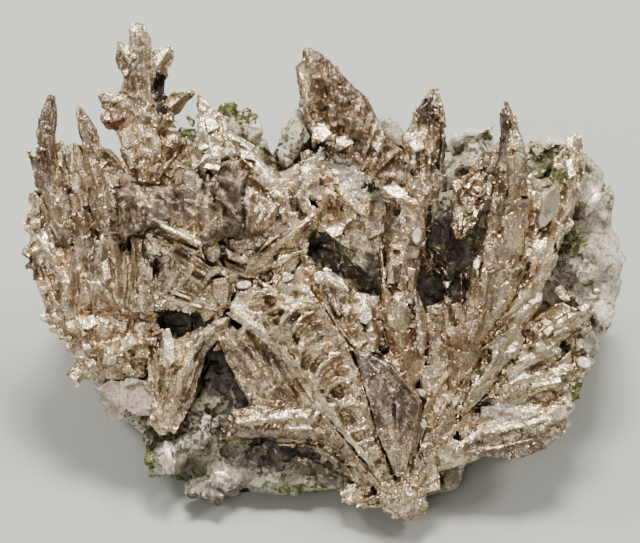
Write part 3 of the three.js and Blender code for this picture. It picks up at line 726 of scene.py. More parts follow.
def inner_spike():
    """The brown spike on the left, nearer the middle."""
    grown = Growth("inner_spike")
    grown.bed(
        [(-56.1, 38.1), (-55.3, 38), (-53.5, 36), (-52, 33.7), (-50.9, 31.4), (-50.4, 29.4), (-49.2, 28.4),
         (-47.3, 27), (-45.5, 25.6), (-43.6, 23.2), (-43, 21.4), (-51.4, 19.6), (-52.4, 23), (-53.4, 25.6),
         (-53.6, 27.4), (-54.4, 29.4), (-55.2, 31), (-55.7, 33.4), (-56.2, 36)], 5.6, 3
    )
    each(grown.blade,
         ([(-55.8, 37.6, 1), (-55.1, 33.4, 1.5), (-54, 29, 1.7), (-52.4, 24, 1.8), (-50.8, 19, 1.6)], 2, 0.8),
         ([(-54.6, 35.4, 1.4), (-53.2, 31, 2.4), (-51.2, 26, 3), (-48.6, 20, 4), (-47, 14, 4)], 2.6, 0.7),
         ([(-55.4, 37.7, 0.8), (-53.4, 35.5, 1.2), (-51.8, 32.6, 1.4), (-50.8, 29.6, 1.3)], 2, 1),
         ([(-50.4, 28.6, 1.1), (-47.6, 26.4, 1.4), (-45.6, 24.2, 1.4), (-44, 22, 1)], 1.8, 1),
         ([(-52.4, 21, 1.2), (-50.4, 23.4, 1.6), (-48.6, 25.6, 1)], 1.6, 0.7))
    each(grown.crumbs, (-46, 21.8, (2.4, 1.2), 4, 0.7), (-48, 16, (3, 3), 4, 0.8))
    grown.stain_and_painted_light(GREY, -52.4, 32, (1.1, 3.6))
    each(grown.stain_and_painted_light, (WHITE, -55.7, 35.8, (0.7, 2.6)), (RUST, -45.4, 22.4, (1.8, 1.2), 0.5))
    grown.finish("silver_brown", BROWN, (-36, -15), ridges=((8, 1.8, 0.7),))


def star_fern():
    """The branching fern at the top left."""
    grown = Growth("star_fern")
    each(grown.bed,
         ([(-38.4, 19), (-30, 20), (-29.6, 29), (-34, 30.4), (-38, 27)], -0.6),
         ([(-44.1, 57), (-42.6, 57.6), (-40.5, 57), (-40, 55.8), (-39.1, 53.8), (-38.9, 51.2), (-38.8, 47),
           (-38.9, 42), (-38.5, 38), (-37.6, 34), (-36.6, 30), (-36.6, 20), (-43.2, 19.6), (-45.6, 27.6),
           (-46.4, 29.8), (-46.6, 33), (-46.2, 37), (-46.2, 41.6), (-45.5, 43.4), (-45.2, 45.6), (-45.4, 47),
           (-44.4, 50), (-44.1, 53)], 1.9, 3.4),
         ([(-47, 53.4), (-46, 53.3), (-44.6, 52.2), (-43.6, 50), (-44, 46.2), (-45.8, 46.9), (-46.9, 47.6),
           (-47.5, 49), (-47.1, 51)], 1.7, 2.6),
         ([(-38.8, 50.6), (-38, 51.4), (-36.3, 52), (-34.6, 52.2), (-33.9, 51.2), (-33.7, 49.6),
           (-34.2, 47.8), (-35.1, 46.5), (-37, 45.8), (-38.8, 46.6)], 2, 2.8),
         ([(-37, 46.4), (-35, 46.4), (-34.9, 45.2), (-35.8, 44.2), (-36.2, 42), (-35.7, 41), (-36, 38.6),
           (-38.8, 37)], 0.2, 2),
         ([(-46, 41.3), (-47.6, 41.6), (-49.4, 41.6), (-50.8, 41.1), (-51.5, 40.4), (-51.1, 39.3),
           (-50.6, 38.2), (-49.8, 37.4), (-47, 36.6), (-45, 36.6)], 1.7, 2.6),
         ([(-49.4, 36.7), (-50.8, 36.1), (-51.1, 35.4), (-50.7, 34.5), (-50, 33.5), (-48.8, 32.7),
           (-47.4, 32.7), (-46, 33), (-45.4, 36.8)], 1.3, 2.6),
         ([(-36, 40.2), (-34, 41.9), (-32.2, 41.7), (-29.9, 42.1), (-28.7, 41.4), (-29.4, 40), (-30.8, 39.1),
           (-32.2, 38.1), (-33.5, 36.6), (-34.4, 35), (-37, 33), (-38, 38)], 1, 2.6))
    each(grown.blade,
         ([(-42.4, 56.2, 2.6), (-42, 51, 3.4), (-42.3, 45, 3.6), (-42.4, 38, 4), (-42, 31, 5)], 2.6),
         ([(-41, 57, 1.1), (-40, 54.4, 1.6), (-39.8, 50, 1.7), (-39.7, 45, 1.6), (-39.4, 41, 1.6),
           (-39, 37.4, 1.6)], 2, 0.9),
         ([(-43.6, 56.6, 1), (-43.5, 53, 1.4), (-43.4, 49.6, 1.4), (-44.2, 45, 1.4)], 1.8, 0.6),
         ([(-46.7, 53.2, 1.1), (-45.3, 50.8, 1.9), (-43.8, 47.6, 1.9)], 2, 0.8),
         ([(-46.9, 50.6, 1.1), (-46.3, 48, 1.8), (-44.8, 44.6, 1.6)], 1.8, 0.4),
         ([(-34.7, 51.8, 1.6), (-35.9, 49.6, 3), (-37.8, 46.6, 2.2)], 2.2, 0.7),
         ([(-38, 51.2, 1), (-38, 47.6, 1.4), (-37.9, 44, 1.2)], 1.8, 0.6),
         ([(-29, 41.5, 1.2), (-32, 40.2, 2.6), (-35, 37.4, 3)], 2.2),
         ([(-29.3, 41.7, 0.9), (-32, 41.3, 1.3), (-34.4, 41.2, 1.1)], 1.6, 0.9))
    each(grown.knob,
         (-49.6, 40.1, 1.6), (-47.2, 39.6, 1.8), (-45, 38.6, 1.7), (-49.6, 35, 1.3), (-47.6, 34.6, 1.7),
         (-42.8, 37.4, 1.6), (-40.4, 36.8, 1.5), (-35.6, 50, 1.6), (-38, 35.4, 1.4), (-45.6, 35.6, 1.5),
         lift=0.6)
    each(grown.blade,
         ([(-43.2, 20, 1.6), (-44.6, 26.6, 2.4), (-45.8, 32, 1.8)],),
         ([(-41.6, 20, 1.8), (-41.6, 28, 3), (-41.4, 34.4, 2.4)],),
         ([(-39.8, 20, 1.8), (-38.6, 27.6, 2.8), (-38, 33.6, 2)],),
         ([(-38.2, 22.4, 1.4), (-36, 27.4, 2.4), (-32.6, 30, 1.2)],),
         ([(-37, 21.6, 1.2), (-34.8, 25.4, 1.6), (-32.6, 27.8, 1)],), thick=2)
    each(grown.crumbs,
         (-48.6, 40.4, (2.4, 1.1), 5, 0.7, 0.5), (-44.6, 39, (2.6, 1.6), 5, 0.8, 0.5),
         (-40.6, 37.2, (2.4, 1.4), 3, 0.9, 0.6), (-49.2, 35.2, (1.6, 1.1), 3, 0.7, 0.4),
         (-35.6, 35.6, (1.8, 1.2), 3, 0.7, 0.4), (-42, 30, (5, 4), 6, 0.7))
    each(grown.stain_and_painted_light,
         (PAINTED_GAP_SHADE, -36.9, 42, (1.6, 3.9)), (RUST, -46.7, 34.2, (2.1, 1.7)), (PAINTED_GAP_SHADE, -36.6, 37.9, (1.9, 1.5)),
         (BROWN, -32.4, 38.6, (3.4, 1.9)), (BROWN, -41, 25, (6, 5), 0.5), (WHITE, -45.4, 51.4, (1.6, 1.8)),
         (WHITE, -36, 50.4, (2, 2)), (GREY, -43.2, 45, (1.4, 3.2)), (GREY, -46.8, 49, (1, 2.4)),
         (WHITE, -31.6, 41.5, (2.8, 0.7)))
    grown.finish("silver_bright", SATIN, (-42, 15), ridges=((8, 1.8, 0.6),), low_tarnish_and_shade=BROWN, below=0.2)


def left_crust():
    """The crust of upright blades and knobs on the left side."""
    grown = Growth("left_crust")
    grown.bed([(-50, 8), (-42.6, 9), (-42.4, 21), (-46, 23.6), (-50, 20)], 6.5)
    each(grown.blade,
         ([(-59.8, 29.8, 1.4), (-58.6, 26.4, 2.2), (-57.6, 22, 2.4), (-57, 18, 2)],),
         ([(-56.8, 29.6, 1.4), (-55.4, 25.6, 2.4), (-53.8, 20.4, 2.4), (-52.8, 16.4, 2)],),
         ([(-67.6, 10.6, 1), (-65, 7.8, 2), (-61.2, 2.8, 2.2)],),
         ([(-64.4, 2, 1.2), (-62.4, -3.6, 2.2), (-60.2, -8.8, 1.2)],),
         ([(-61, 1.4, 1.8), (-58.6, -2.6, 2.8), (-57.6, -6.8, 1.8)],),
         ([(-66.6, 1.6, 1.4), (-64.8, -3, 2), (-62.8, -8.6, 1.6)],),
         ([(-54.4, 12, 2.2), (-53, 4.4, 3.8), (-52.4, -3.4, 3.6), (-53.8, -9, 2.2)],),
         ([(-48.8, 12, 2.6), (-47.4, 4, 4), (-46.6, -4, 4.4), (-45.6, -9, 2.4)],),
         ([(-44.4, 14, 1.4), (-44.8, 6, 2.2), (-44.6, -2, 2), (-45.4, -8, 1.4)],),
         ([(-42.2, 9, 1), (-42.9, 2, 1.4), (-42.4, -9.4, 1.4)],),
         ([(-40.5, 8.8, 1.3), (-40.3, 2, 2.4), (-39.6, -5, 2.6), (-40, -9.6, 1.6)],),
         ([(-39.2, 3, 0.9), (-38.7, -4, 1.4), (-39.2, -9, 1.1)],),
         ([(-50.6, -3, 1.4), (-48, -7, 2.4), (-45, -9.8, 1.2)],),
         ([(-55.6, 1, 1.2), (-54.6, -5, 2), (-55.6, -10, 1.2)],), thick=2.6, lift=1)
    each(grown.sheet,
         ([(-60.8, 29.3), (-60.2, 30.4), (-59.2, 30.3), (-58.4, 28.6), (-57, 26.2), (-56.6, 23), (-57, 17),
           (-59.6, 19)], 1.8, 0.8),
         ([(-58.2, 29.3), (-56.7, 30.1), (-55.2, 29.2), (-54.1, 26.3), (-52.8, 23.6), (-52, 17), (-56, 16),
           (-57.4, 24)], 1.8, 0.8),
         ([(-62.4, 19), (-60, 19.4), (-56, 16), (-55.4, 9), (-56.6, 5), (-60, 6),
           (-62.4, 11)], 1.6, 0.5, (0.08, 0.02)))
    each(grown.knob,
         (-66, 17.4, 1.6), (-64, 16.4, 1.5), (-65.4, 14.6, 1.5), (-63.2, 14.6, 1.2), (-66.6, 13.2, 1.4),
         (-67.4, 10.2, 1.5), (-65.6, 11, 1.6), (-66, 7.6, 1.4), (-67.3, 4.4, 1.9), (-60.9, 2.4, 1.6),
         (-67.4, 1.2, 1.2), (-65.8, -1.4, 1.2), (-63.6, -10.6, 1.6), (-61.6, -13, 1.7), (-59.6, -14.8, 1.4),
         (-56.8, -24.2, 1.7), (-56, -26.2, 1), (-58, -17.4, 1.3), lift=0.7)
    each(grown.knob,
         (-54.4, -12, 2.6), (-52.6, -16.6, 2.8), (-49.4, -14, 2.4), (-45.6, -12.4, 2.2), (-44.8, -16.6, 2.4),
         (-41, -13, 2.4), (-41, -19, 2.2), (-48.4, -20, 2.4), (-52.6, -21.6, 2), (-44.4, -22.4, 2),
         (-57, -13, 1.8), (-38.6, -16, 1.8), lift=1.2, squash=(1, 0.85, 0.8))
    each(grown.crumbs,
         (-50, -16, (8, 7), 24, 1, 0.4), (-42, -20, (5, 4), 10, 0.9, 0.4), (-60, -12, (3.4, 3), 6, 0.8),
         (-52, 9, (3, 3), 6, 0.7), (-44.6, 14, (4, 4), 9, 0.7), (-51, -4, (5, 5), 12, 0.7),
         (-65.4, 12, (1.8, 5), 7, 0.8, 0.5))
    # The brown strip at (-41.4, 0) is painted shade in the slit beside the fern.
    each(grown.stain_and_painted_light,
         (BROWN, -59, 12.6, (3.6, 7)), (PAINTED_GAP_SHADE, -53.1, 14.8, (1.2, 1.2)), (GREY, -44.5, 15, (6, 6), 0.75),
         (WHITE, -56.6, 25, (4.6, 5.6)), (GREY, -57.9, 25, (0.5, 3)), (WHITE, -66, 15.6, (2.4, 3.4), 0.5),
         (WHITE, -63.4, 5.8, (2.6, 4.6), 0.5), (GREY, -52.4, 4, (2.2, 5), 0.7),
         (GREY, -67, -1, (1.6, 6), 0.8), (BROWN, -41.4, 0, (1.6, 9), 0.8), (PAINTED_GAP_SHADE, -42, 5, (0.3, 3)),
         (RUST, -38.6, -21, (2.6, 2), 0.6), (RUST, -40.6, -17, (2.2, 1.6), 0.4), (GOLD, -59, -2, (3, 4), 0.5))
    each(grown.plate,
         (WHITE, [(-54.6, -10.6), (-52.1, -9.8), (-51.1, -12.1), (-53.2, -13.5), (-55, -13)], 0.8, (0, -0.4)),
         (WHITE, [(-55, -16.6), (-53, -16.4), (-52.6, -18), (-54.6, -18.4)], 0.7, (0, -0.35)),
         (WHITE, [(-49.3, -17), (-47.4, -17.2), (-47.4, -19), (-49, -19.2)], 0.7, (0.1, -0.35)),
         (GOLD, [(-57, 29.6), (-55.6, 29), (-53.6, 24.6), (-52.6, 20.6), (-54.6, 21.2),
           (-56.7, 25.8)], 0.6, (-0.15, -0.14)),
         (WHITE, [(-60.7, 27), (-60, 29), (-59.1, 27), (-59.2, 23.6), (-60.4, 24.4)], 0.6, (-0.1, -0.25)),
         (GOLD, [(-64.6, 9), (-62.8, 9.6), (-62.4, 5.6), (-64, 4.8)], 0.6, (-0.1, -0.24)),
         (WHITE, [(-50.6, 2), (-48.8, 3), (-48, -1.6), (-49.8, -2.4)], 0.5, (0.1, -0.35)))
    grown.finish("silver_bright", BRIGHT, (-46, -100), low_tarnish_and_shade=BROWN, below=0.25)


def serrated_leaf():
    """The grey-brown plates with a saw-tooth top, upper left of the middle; their dark finish is partly
    tarnish and partly painted shade, and the white along their lower ridge is painted highlight.
    """
    grown = Growth("serrated_leaf")
    each(grown.blade,
         ([(-44.4, 9, 2.4), (-44.8, 15, 3.4), (-44.6, 20.4, 2)],),
         ([(-40.6, 9.6, 2.4), (-41.2, 15, 3.4), (-40.6, 20.6, 2)],),
         ([(-36.8, 10.6, 2.6), (-37, 15, 3.6), (-36.6, 20.8, 2.2)],),
         ([(-33.4, 9.8, 2.6), (-33.6, 15.6, 3.6), (-33.4, 21.8, 2)],),
         ([(-30.4, 8.8, 2.4), (-30.8, 15.8, 3.4), (-31, 22, 1.8)],),
         ([(-27.8, 8, 2.4), (-28.2, 15.8, 3.4), (-28.4, 22.6, 2)],),
         ([(-25, 7, 2.2), (-25.6, 15.6, 3), (-25.7, 23.4, 1.8)],),
         ([(-22.2, 7.4, 2.2), (-22.6, 16, 3), (-22.4, 23.4, 1.6)],),
         ([(-19.4, 8.4, 2), (-19.8, 17, 3.2), (-19.5, 24.6, 1.8)],),
         ([(-16.3, 9.4, 1.3), (-15.9, 15, 2.2), (-16, 19.8, 1.3)],),
         ([(-15.8, 9.4, 1.3), (-14, 14.4, 2), (-13.7, 19.6, 1.2)],),
         ([(-15.2, 9.2, 1.3), (-12.6, 13.4, 2), (-11.6, 18.2, 1.1)],),
         ([(-14.8, 9, 1.2), (-12, 12, 1.9), (-9.9, 15.2, 1.1)],),
         ([(-14.4, 8.6, 1.2), (-11.6, 10.2, 1.7), (-9.6, 12.2, 1)],), thick=2, lift=0.38)
    each(grown.blade,
         ([(-39.8, 12.8, 1), (-36.2, 10.6, 1.7), (-31, 8.3, 1.8), (-25.8, 5.8, 1.3)], 2.2, 1.4),
         ([(-31, 16.2, 0.8), (-28, 14.9, 1.5), (-24.8, 14.3, 0.8)], 1.8, 1.2),
         ([(-30.4, 14.4, 0.7), (-28.2, 12, 1.2), (-27.2, 9, 0.8)], 1.6, 1.1),
         ([(-24, 17, 0.7), (-20.6, 14.6, 1.2), (-18, 10.8, 0.9)], 1.6, 1.2),
         ([(-21, 6.4, 0.9), (-18.4, 8, 1.2), (-17.4, 10.4, 0.8)], 1.6, 1))
    each(grown.knob, (-22, 11, 0.9, 1.1), (-39, 11, 1, 1.2))
    grown.crumbs(-44, 16, (3, 4), 5, 0.8, 0.4)
    each(grown.stain_and_painted_light,
         (WHITE, -32.4, 8.8, (7, 1.1)), (BROWN, -28, 12, (6.4, 3)), (BROWN, -13.4, 14.4, (3.6, 5.4)),
         (PURPLE, -31, 16, (2, 4), 0.7), (PAINTED_GAP_SHADE, -17.3, 14.4, (0.42, 5.4)), (WHITE, -22.3, 11.2, (0.8, 0.8)),
         (BROWN, -44.2, 11.6, (3, 3.4), 0.6), (BROWN, -40.4, 15, (2, 4), 0.4))
    # the white plate here, like the white patch at (-32.4, 8.8), is painted highlight along the lower ridge
    grown.plate(
        WHITE, [(-36.8, 11.4), (-36.4, 10.2), (-31, 7.6), (-26.8, 5.6), (-27, 6.8), (-31.2, 9)], 0.5,
        (0, -0.35)
    )
    grown.finish("silver_grey", LEAF, (-24, -40), ridges=((12, 2, 0.32),), faces=((3.4, 0.08), (1.2, 0.04)))


def upper_leaf():
    """The bright leaf with its tip beside the star fern; its near-white finish is partly fresher silver and
    partly painted highlight for a face turned to the light.
    """
    grown = Growth("upper_leaf")
    grown.bed([(-9.4, 23), (-5.4, 24), (-3.4, 19), (-1, 13), (-2.4, 10.6), (-5, 8), (-9, 13)], 4.6)
    each(grown.blade,
         ([(-28.2, 40.8, 0.9), (-27.2, 36.4, 3), (-26, 31, 5.4), (-24, 25, 7)], 3, 0.7),
         ([(-22.4, 35.6, 2), (-22, 31, 3.6), (-20.6, 26, 4.4)], 2.6, 0.8),
         ([(-20.6, 31, 2.6), (-16, 27.8, 3.8), (-11.8, 24.4, 3.4), (-9.2, 19.4, 2.6),
           (-7.6, 15.8, 1.4)], 3, 1), ([(-18.6, 26.6, 2.4), (-14.4, 22.8, 3.2), (-10.6, 18, 2.4)], 2.6, 0.9),
         ([(-16.6, 22, 1.6), (-13.4, 20.4, 2.2), (-10.4, 16.6, 1.4)], 2.2, 0.9),
         ([(-29.4, 23, 1.4), (-26, 26, 2.4), (-22, 28, 1.8)], 2.2, 0.9),
         ([(-28, 32.6, 1.2), (-24.6, 31, 2.4), (-21.4, 28.8, 1.6)], 2, 1),
         ([(-10.2, 18, 1.8), (-8.2, 16.4, 2.2), (-6.6, 14.4, 1)], 2, 0.9),
         ([(-6.8, 20.4, 1.2), (-5.2, 17, 2.4), (-3.6, 13.2, 1.4)], 2.4, 1.4),
         ([(-9, 14.2, 2), (-7.6, 11.6, 1.8), (-6.2, 9.4, 1)], 2.4, 1.4))
    each(grown.bed,
         ([(-28.3, 40.7), (-26.2, 39.3), (-24.4, 37.5), (-22, 35.3), (-21.4, 33.2), (-18.7, 31), (-21, 28),
           (-28.4, 27.4), (-28, 31.8), (-28.3, 34.6), (-28, 37.4)], 6.8, 3),
         ([(-29.5, 28.8), (-28, 29), (-20, 30), (-17.4, 28.8), (-15, 26.9), (-12.7, 25), (-11.2, 23.2),
           (-8.6, 20.4), (-7.2, 18), (-6.8, 15.8), (-8.2, 14.6), (-12, 17), (-16, 20), (-29.6, 22)], 6.6, 3))
    grown.sheet(
        [(-30, 22.6), (-29, 27), (-26, 28.6), (-20, 29), (-14, 26.6), (-11, 23.6), (-16, 20), (-28, 20.6)], 2,
        0.7
    )
    each(grown.knob, (-28.8, 28.2, 1.3, 1.2), (-26.8, 27.6, 1.2, 1.3))
    each(grown.crumbs, (-25.4, 36, (2, 3), 6, 0.6), (-23.6, 30, (4, 3), 10, 0.7), (-18, 26, (4, 3), 7, 0.7))
    each(grown.stain_and_painted_light,
         (GOLD, -22.6, 30.6, (4, 1.5), 0.7), (BRIGHT, -24.6, 35.4, (3, 4.4), 0.4),
         (GREY, -5.2, 17, (1.7, 3.8), 0.9), (RUST, -27, 27, (1.4, 1), 0.4))
    each(grown.plate,
         (WHITE, [(-26.6, 35), (-23.9, 35.6), (-23.3, 32.7), (-25.8, 31.6)], 0.6, (0.1, -0.4)),
         (WHITE, [(-28.4, 29), (-26, 29.6), (-25.2, 28.4), (-27.6, 27.4)], 0.6, (0, -0.35)),
         (WHITE, [(-28.6, 25.2), (-24.9, 26.8), (-21.6, 25.2), (-23.1, 23), (-26.6, 23.6)], 0.6, (0, -0.4)),
         (WHITE, [(-18.6, 29), (-15.4, 27.4), (-14.6, 25.2), (-18.4, 26)], 0.6, (0.1, -0.35)))
    grown.finish("silver_bright", WHITE, (-36, 52), ridges=((10, 2, 0.6),))


def left_fern():
    """The wide herringbone fern behind the centre frond on the left."""
    grown = Growth("left_fern")
    each(grown.bed,
         ([(-40, 10), (-32, 10), (-26, 8), (-18, 10), (-12, 12), (-5, 14), (-4, 8), (-16, 3), (-24, 4),
           (-40, 6)], 6.4), ([(-41, -7), (-38, -8), (-28, -7.6), (-21, -8), (-20, -3), (-40, -3)], 3.6),
         ([(-25.6, -1.6), (-20.4, -1.4), (-20.4, -8.6), (-22.4, -9.2), (-32, -8.6), (-34, -6.4),
           (-26, -6.6)], 4.4), ([(-41.4, -9.6), (-41.8, 2), (-40, 3.6), (-38.4, 1), (-38, -9.6)], 5.4),
         ([(-43.6, 8), (-41, 8), (-40.6, -9.6), (-43.2, -9.6)], 4.8))
    each(grown.blade,
         ([(-17, 1.6, 2.6), (-11, 5.6, 3), (-5, 10, 2.6), (0, 14, 1.2)], 2.6, 1.7),
         ([(-15, -0.4, 2), (-9.4, 2.6, 2.6), (-4.4, 4.8, 1.6)], 2.6, 1.4),
         ([(-12.4, -3, 1.8), (-9, -1.6, 2.4), (-5.6, -0.8, 1.4)], 2.6, 1.4),
         ([(-22.6, 6.6, 1.2), (-20.6, 3.8, 2.2), (-17.6, 1.8, 1.6)], 2.6, 1.8),
         ([(-33.8, 4.6, 1.2), (-29.8, 1.8, 2.2), (-26, -1, 1.3)], 2.6, 1.3),
         ([(-32.4, 0.6, 1), (-29.4, -1.6, 1.8), (-26.6, -3.6, 1.1)], 2.6, 1.2),
         ([(-34.2, -4, 1.2), (-30.4, -5.2, 2.1), (-26, -6.6, 1.3)], 2.6, 1.4),
         ([(-35.8, -5.4, 1.6), (-32, -7, 2.2), (-27, -8.4, 1.5)], 2.6, 1),
         ([(-24.4, -3.6, 1.3), (-22.8, -6.4, 2.2), (-21, -8.8, 1.3)], 2.6, 1),
         ([(-28, 7, 1.6), (-26.6, 3, 2.2), (-24, -1, 1.4)], 2.6, 1),
         ([(-38.8, 8.6, 1.4), (-33, 6.6, 2), (-27.6, 4.4, 1.4)], 2.6, 0.9),
         ([(-31, 4.6, 1.2), (-27.6, 2.6, 1.8), (-24.6, 0.4, 1.2)], 2.6, 1.1),
         ([(-20.4, 0.6, 1.2), (-17.4, -1, 1.8), (-14.4, -1.6, 1)], 2.6, 1),
         ([(-24, 1.6, 1.2), (-21.6, -1.4, 1.8), (-20.6, -4.8, 1.2)], 2.6, 0.9),
         ([(-14.6, 8.6, 1), (-11.6, 6.6, 1.6), (-8.6, 5.4, 1)], 2.6, 1.2),
         ([(-42.8, 7.4, 0.7), (-42.4, 0, 1.2), (-42.6, -8.6, 0.8)], 2.6, 0.9))
    grown.sheet([(-15.4, 2.6), (-12.4, 6.2), (-10.4, 7.4), (-10, 5.4), (-13.2, 2.8)], 1.8, 1.3, (-0.1, 0.25))
    grown.blade([(-24.4, 6.8, 1.2), (-20, 4.2, 1.8), (-15.8, 1.6, 1)], 2.2, 1.7)
    grown.blade([(-15.2, -1, 1.2), (-11.4, -4.4, 1.9), (-11, -7, 1)], 2, 1.2)
    each(grown.sheet,
         ([(-10.4, 7.6), (-7, 10), (-2.4, 6.6), (-3.6, 2.4), (-8.6, 1.6), (-12, 3)], 1.8, 0.6, (0.1, 0.2)),
         ([(-40, 9), (-30, 8.4), (-24, 4.6), (-26, 2), (-34, 3), (-39.6, 4)], 2, 0.4, (0, 0.2)))
    each(grown.knob, (-24.6, 5.4, 2.3, 1.6, (1, 1, 0.8)), (-8, -1, 1.5, 1.5, (1.3, 0.7, 0.7)))
    each(grown.knob,
         (-38, -6, 1.5), (-36, -7.6, 1.6), (-34, -6.6, 1.4), (-30.6, -9, 1.6), (-37, -3.4, 1.2), lift=0.9)
    each(grown.crumbs,
         (-30, -3, (7, 4), 10, 0.8), (-11, 2, (6, 4), 6, 0.5, 0.2), (-36, 5, (3, 3), 6, 0.8, 0.4))
    # The brown bands at (-32, 6.8) and (-19.8, 1.4) are painted shadow under the ridges above them, the white
    # at (-20, 4) and (-20, 4.4) is painted highlight on a ridge top, and the brown strip at (-42.2, -1) is
    # painted shade in the slit beside the left crust.
    each(grown.stain_and_painted_light,
         (GREY, -36.8, 1, (2, 3.4)), (PAINTED_GAP_SHADE, -38, 1, (0.5, 2.4)), (GREY, -32, 3.4, (2.4, 2.6)),
         (BROWN, -32, 6.8, (6, 1.4)), (BROWN, -39.8, -4, (1.2, 6)), (BROWN, -24, -5.2, (2, 3)),
         (BROWN, -19.8, 1.4, (3, 1.3)), (WHITE, -20, 4, (4, 0.9)), (WHITE, -10, 5.2, (0.6, 0.6)),
         (WHITE, -30.4, -9, (1.5, 0.9)), (WHITE, -11.6, 7.2, (2, 1.4)), (WHITE, -7.6, -0.9, (2, 0.9)),
         (WHITE, -20, 4.4, (2.6, 1.2), 0.7), (WHITE, -30, -5.4, (4.4, 1), 0.6),
         (GREY, -24.6, 5.4, (2.3, 2.4)), (GREY, -12.6, 5, (2.4, 1.2)), (BROWN, -15.2, -2.6, (1.3, 1.3)),
         (PAINTED_GAP_SHADE, -34.6, -10.2, (4, 1.4)), (RUST, -21, -5, (1.6, 2.4), 0.3), (BROWN, -42.2, -1, (1.2, 8), 0.7))
    each(grown.plate,
         (PAINTED_GLINT, oval(-17.6, -3, 1.9, 1.1, 5), 1, (0, -0.35)), (PAINTED_GLINT, oval(-35.5, 3, 1.2, 0.9, 30), 0.9),
         (PAINTED_GLINT, oval(-35.1, 0.1, 0.8, 0.9), 0.9),
         (WHITE, [(-13.9, 4.6), (-11.8, 8.2), (-9.9, 7.8)], 1, (0, -0.35)),
         (BROWN, [(-9.3, 6.7), (-11, 2.7), (-15.3, 2.3), (-13.3, 3.9)], 0.8, (0.1, 0.25)),
         # the darker colour of this plate under the ridge is painted shadow; its downward tilt is real
         (RUSTY, [(-22.3, 2.9), (-16.9, 0.5), (-18, -1.2), (-21.4, 0.6)], 0.7, (0, 0.3)),
         (GREY, oval(-24.4, 4.6, 1.7, 2.5, -10), 0.8, (0.1, 0.15)),
         (WHITE, [(-31.2, -0.6), (-29.6, -0.5), (-27.4, -2), (-27.5, -2.7), (-30, -1.7)], 0.7, (0, -0.35)),
         (WHITE, [(-35.2, -4.2), (-33.4, -4.1), (-29.7, -5.7), (-29.6, -6.5), (-33, -5.5)], 0.7, (0, -0.35)),
         (BROWN, [(-24.8, -1.8), (-21.5, -1.2), (-20.7, -4.3), (-21.5, -8), (-22.9, -8.2),
           (-24.8, -5.5)], 0.5, (0.1, 0.15)),
         (GOLD, [(-38.6, 8), (-35.4, 7.6), (-33.6, 5.8), (-37.6, 6.2)], 0.6, (0, -0.24)))
    grown.finish(
        "silver_brown", BRIGHT, (-80, -45), ridges=((10, 1.9, 0.45),), low_tarnish_and_shade=SATIN, below=0.2, painted_crest_highlight=WHITE,
        above=1.4,
    )


def flow_lobe():
    """The bright lobe that runs down the left from the fern to the stone."""
    grown = Growth("flow_lobe")
    grown.bed(
        [(-23.4, -15.5), (-26.1, -18.7), (-26.9, -21.9), (-28, -25.1), (-29.1, -29.4), (-31.5, -34.2),
         (-32.8, -36.6), (-38.6, -36.6), (-39.6, -30), (-40, -22), (-39.6, -14.6), (-36.4, -13),
         (-33.4, -15.6), (-31.5, -14.6), (-27, -12.6)], 2.2
    )
    grown.bed([(-20.8, -10.8), (-23.4, -15.5), (-26.1, -18.7), (-28.4, -17), (-26, -12.2)], 3.4)
    grown.blade([(-38.4, -17, 1.6), (-37.6, -22, 2.4), (-37.4, -27, 1.6)], 2, 0.7)
    each(grown.knob,
         (-38.8, -34.4, 1.5), (-36.4, -36.6, 1.6), (-33.6, -36.4, 1.2), (-39.6, -30.6, 1.5),
         (-39.6, -26, 1.5), (-30, -32.6, 1.2), (-38, -31, 1.2), lift=0.3)
    each(grown.blade,
         ([(-20.6, -10.4, 1.4), (-24.8, -13.2, 2), (-28.4, -17.4, 2.4), (-30.6, -22.4, 2.4),
           (-33.4, -28, 2.2)], 2.4, 1),
         ([(-27.4, -14.4, 1), (-30, -19, 1.6), (-33.6, -25, 1.8), (-36, -32, 1.4)], 2, 0.9),
         ([(-28.2, -20.6, 1), (-29.6, -25, 1.6), (-31.6, -30, 1.4)], 2, 0.6),
         ([(-35.6, -12.6, 1.6), (-35.9, -16, 2.6), (-35.6, -20, 2.8)], 2.6, 1),
         ([(-33.6, -13.6, 1.2), (-33.4, -18, 1.8), (-33, -22, 1.6)], 2.2, 0.6))
    grown.knob(-35.1, -20.8, 1.9, 1.8)
    each(grown.crumbs, (-29.6, -15, (3, 3.4), 8, 0.8, 0.5), (-36.6, -30, (2, 4), 5, 0.7, 0.4))
    each(grown.stain_and_painted_light,
         (WHITE, -35.2, -18.6, (1.8, 4.4), 0.85), (WHITE, -30.4, -19, (2.4, 4), 0.3),
         (GREY, -31, -30, (1.6, 3.4), 0.6), (GOLD, -36, -32, (3, 4), 0.5), (BRIGHT, -38, -20, (2, 6), 0.5),
         (GREY, -27, -18.6, (2.2, 3.4), 0.7), (RUST, -37.4, -16, (1.4, 2), 0.4))
    grown.plate(
        WHITE, [(-36.4, -13.8), (-34.7, -13), (-33.8, -15.9), (-33.4, -20.8), (-34.7, -22), (-36, -19.3)], 1
    )
    grown.plate(GOLD, [(-33, -23), (-31.4, -22), (-31.6, -27), (-33.4, -29)], 0.5, (0.15, -0.14))
    grown.finish(
        "silver_bright", BRIGHT, (-18, -5), ridges=((10, 2, 0.45),), faces=((3.4, 0.14), (1.2, 0.1)),
        low_tarnish_and_shade=BROWN, below=0.1,
    )


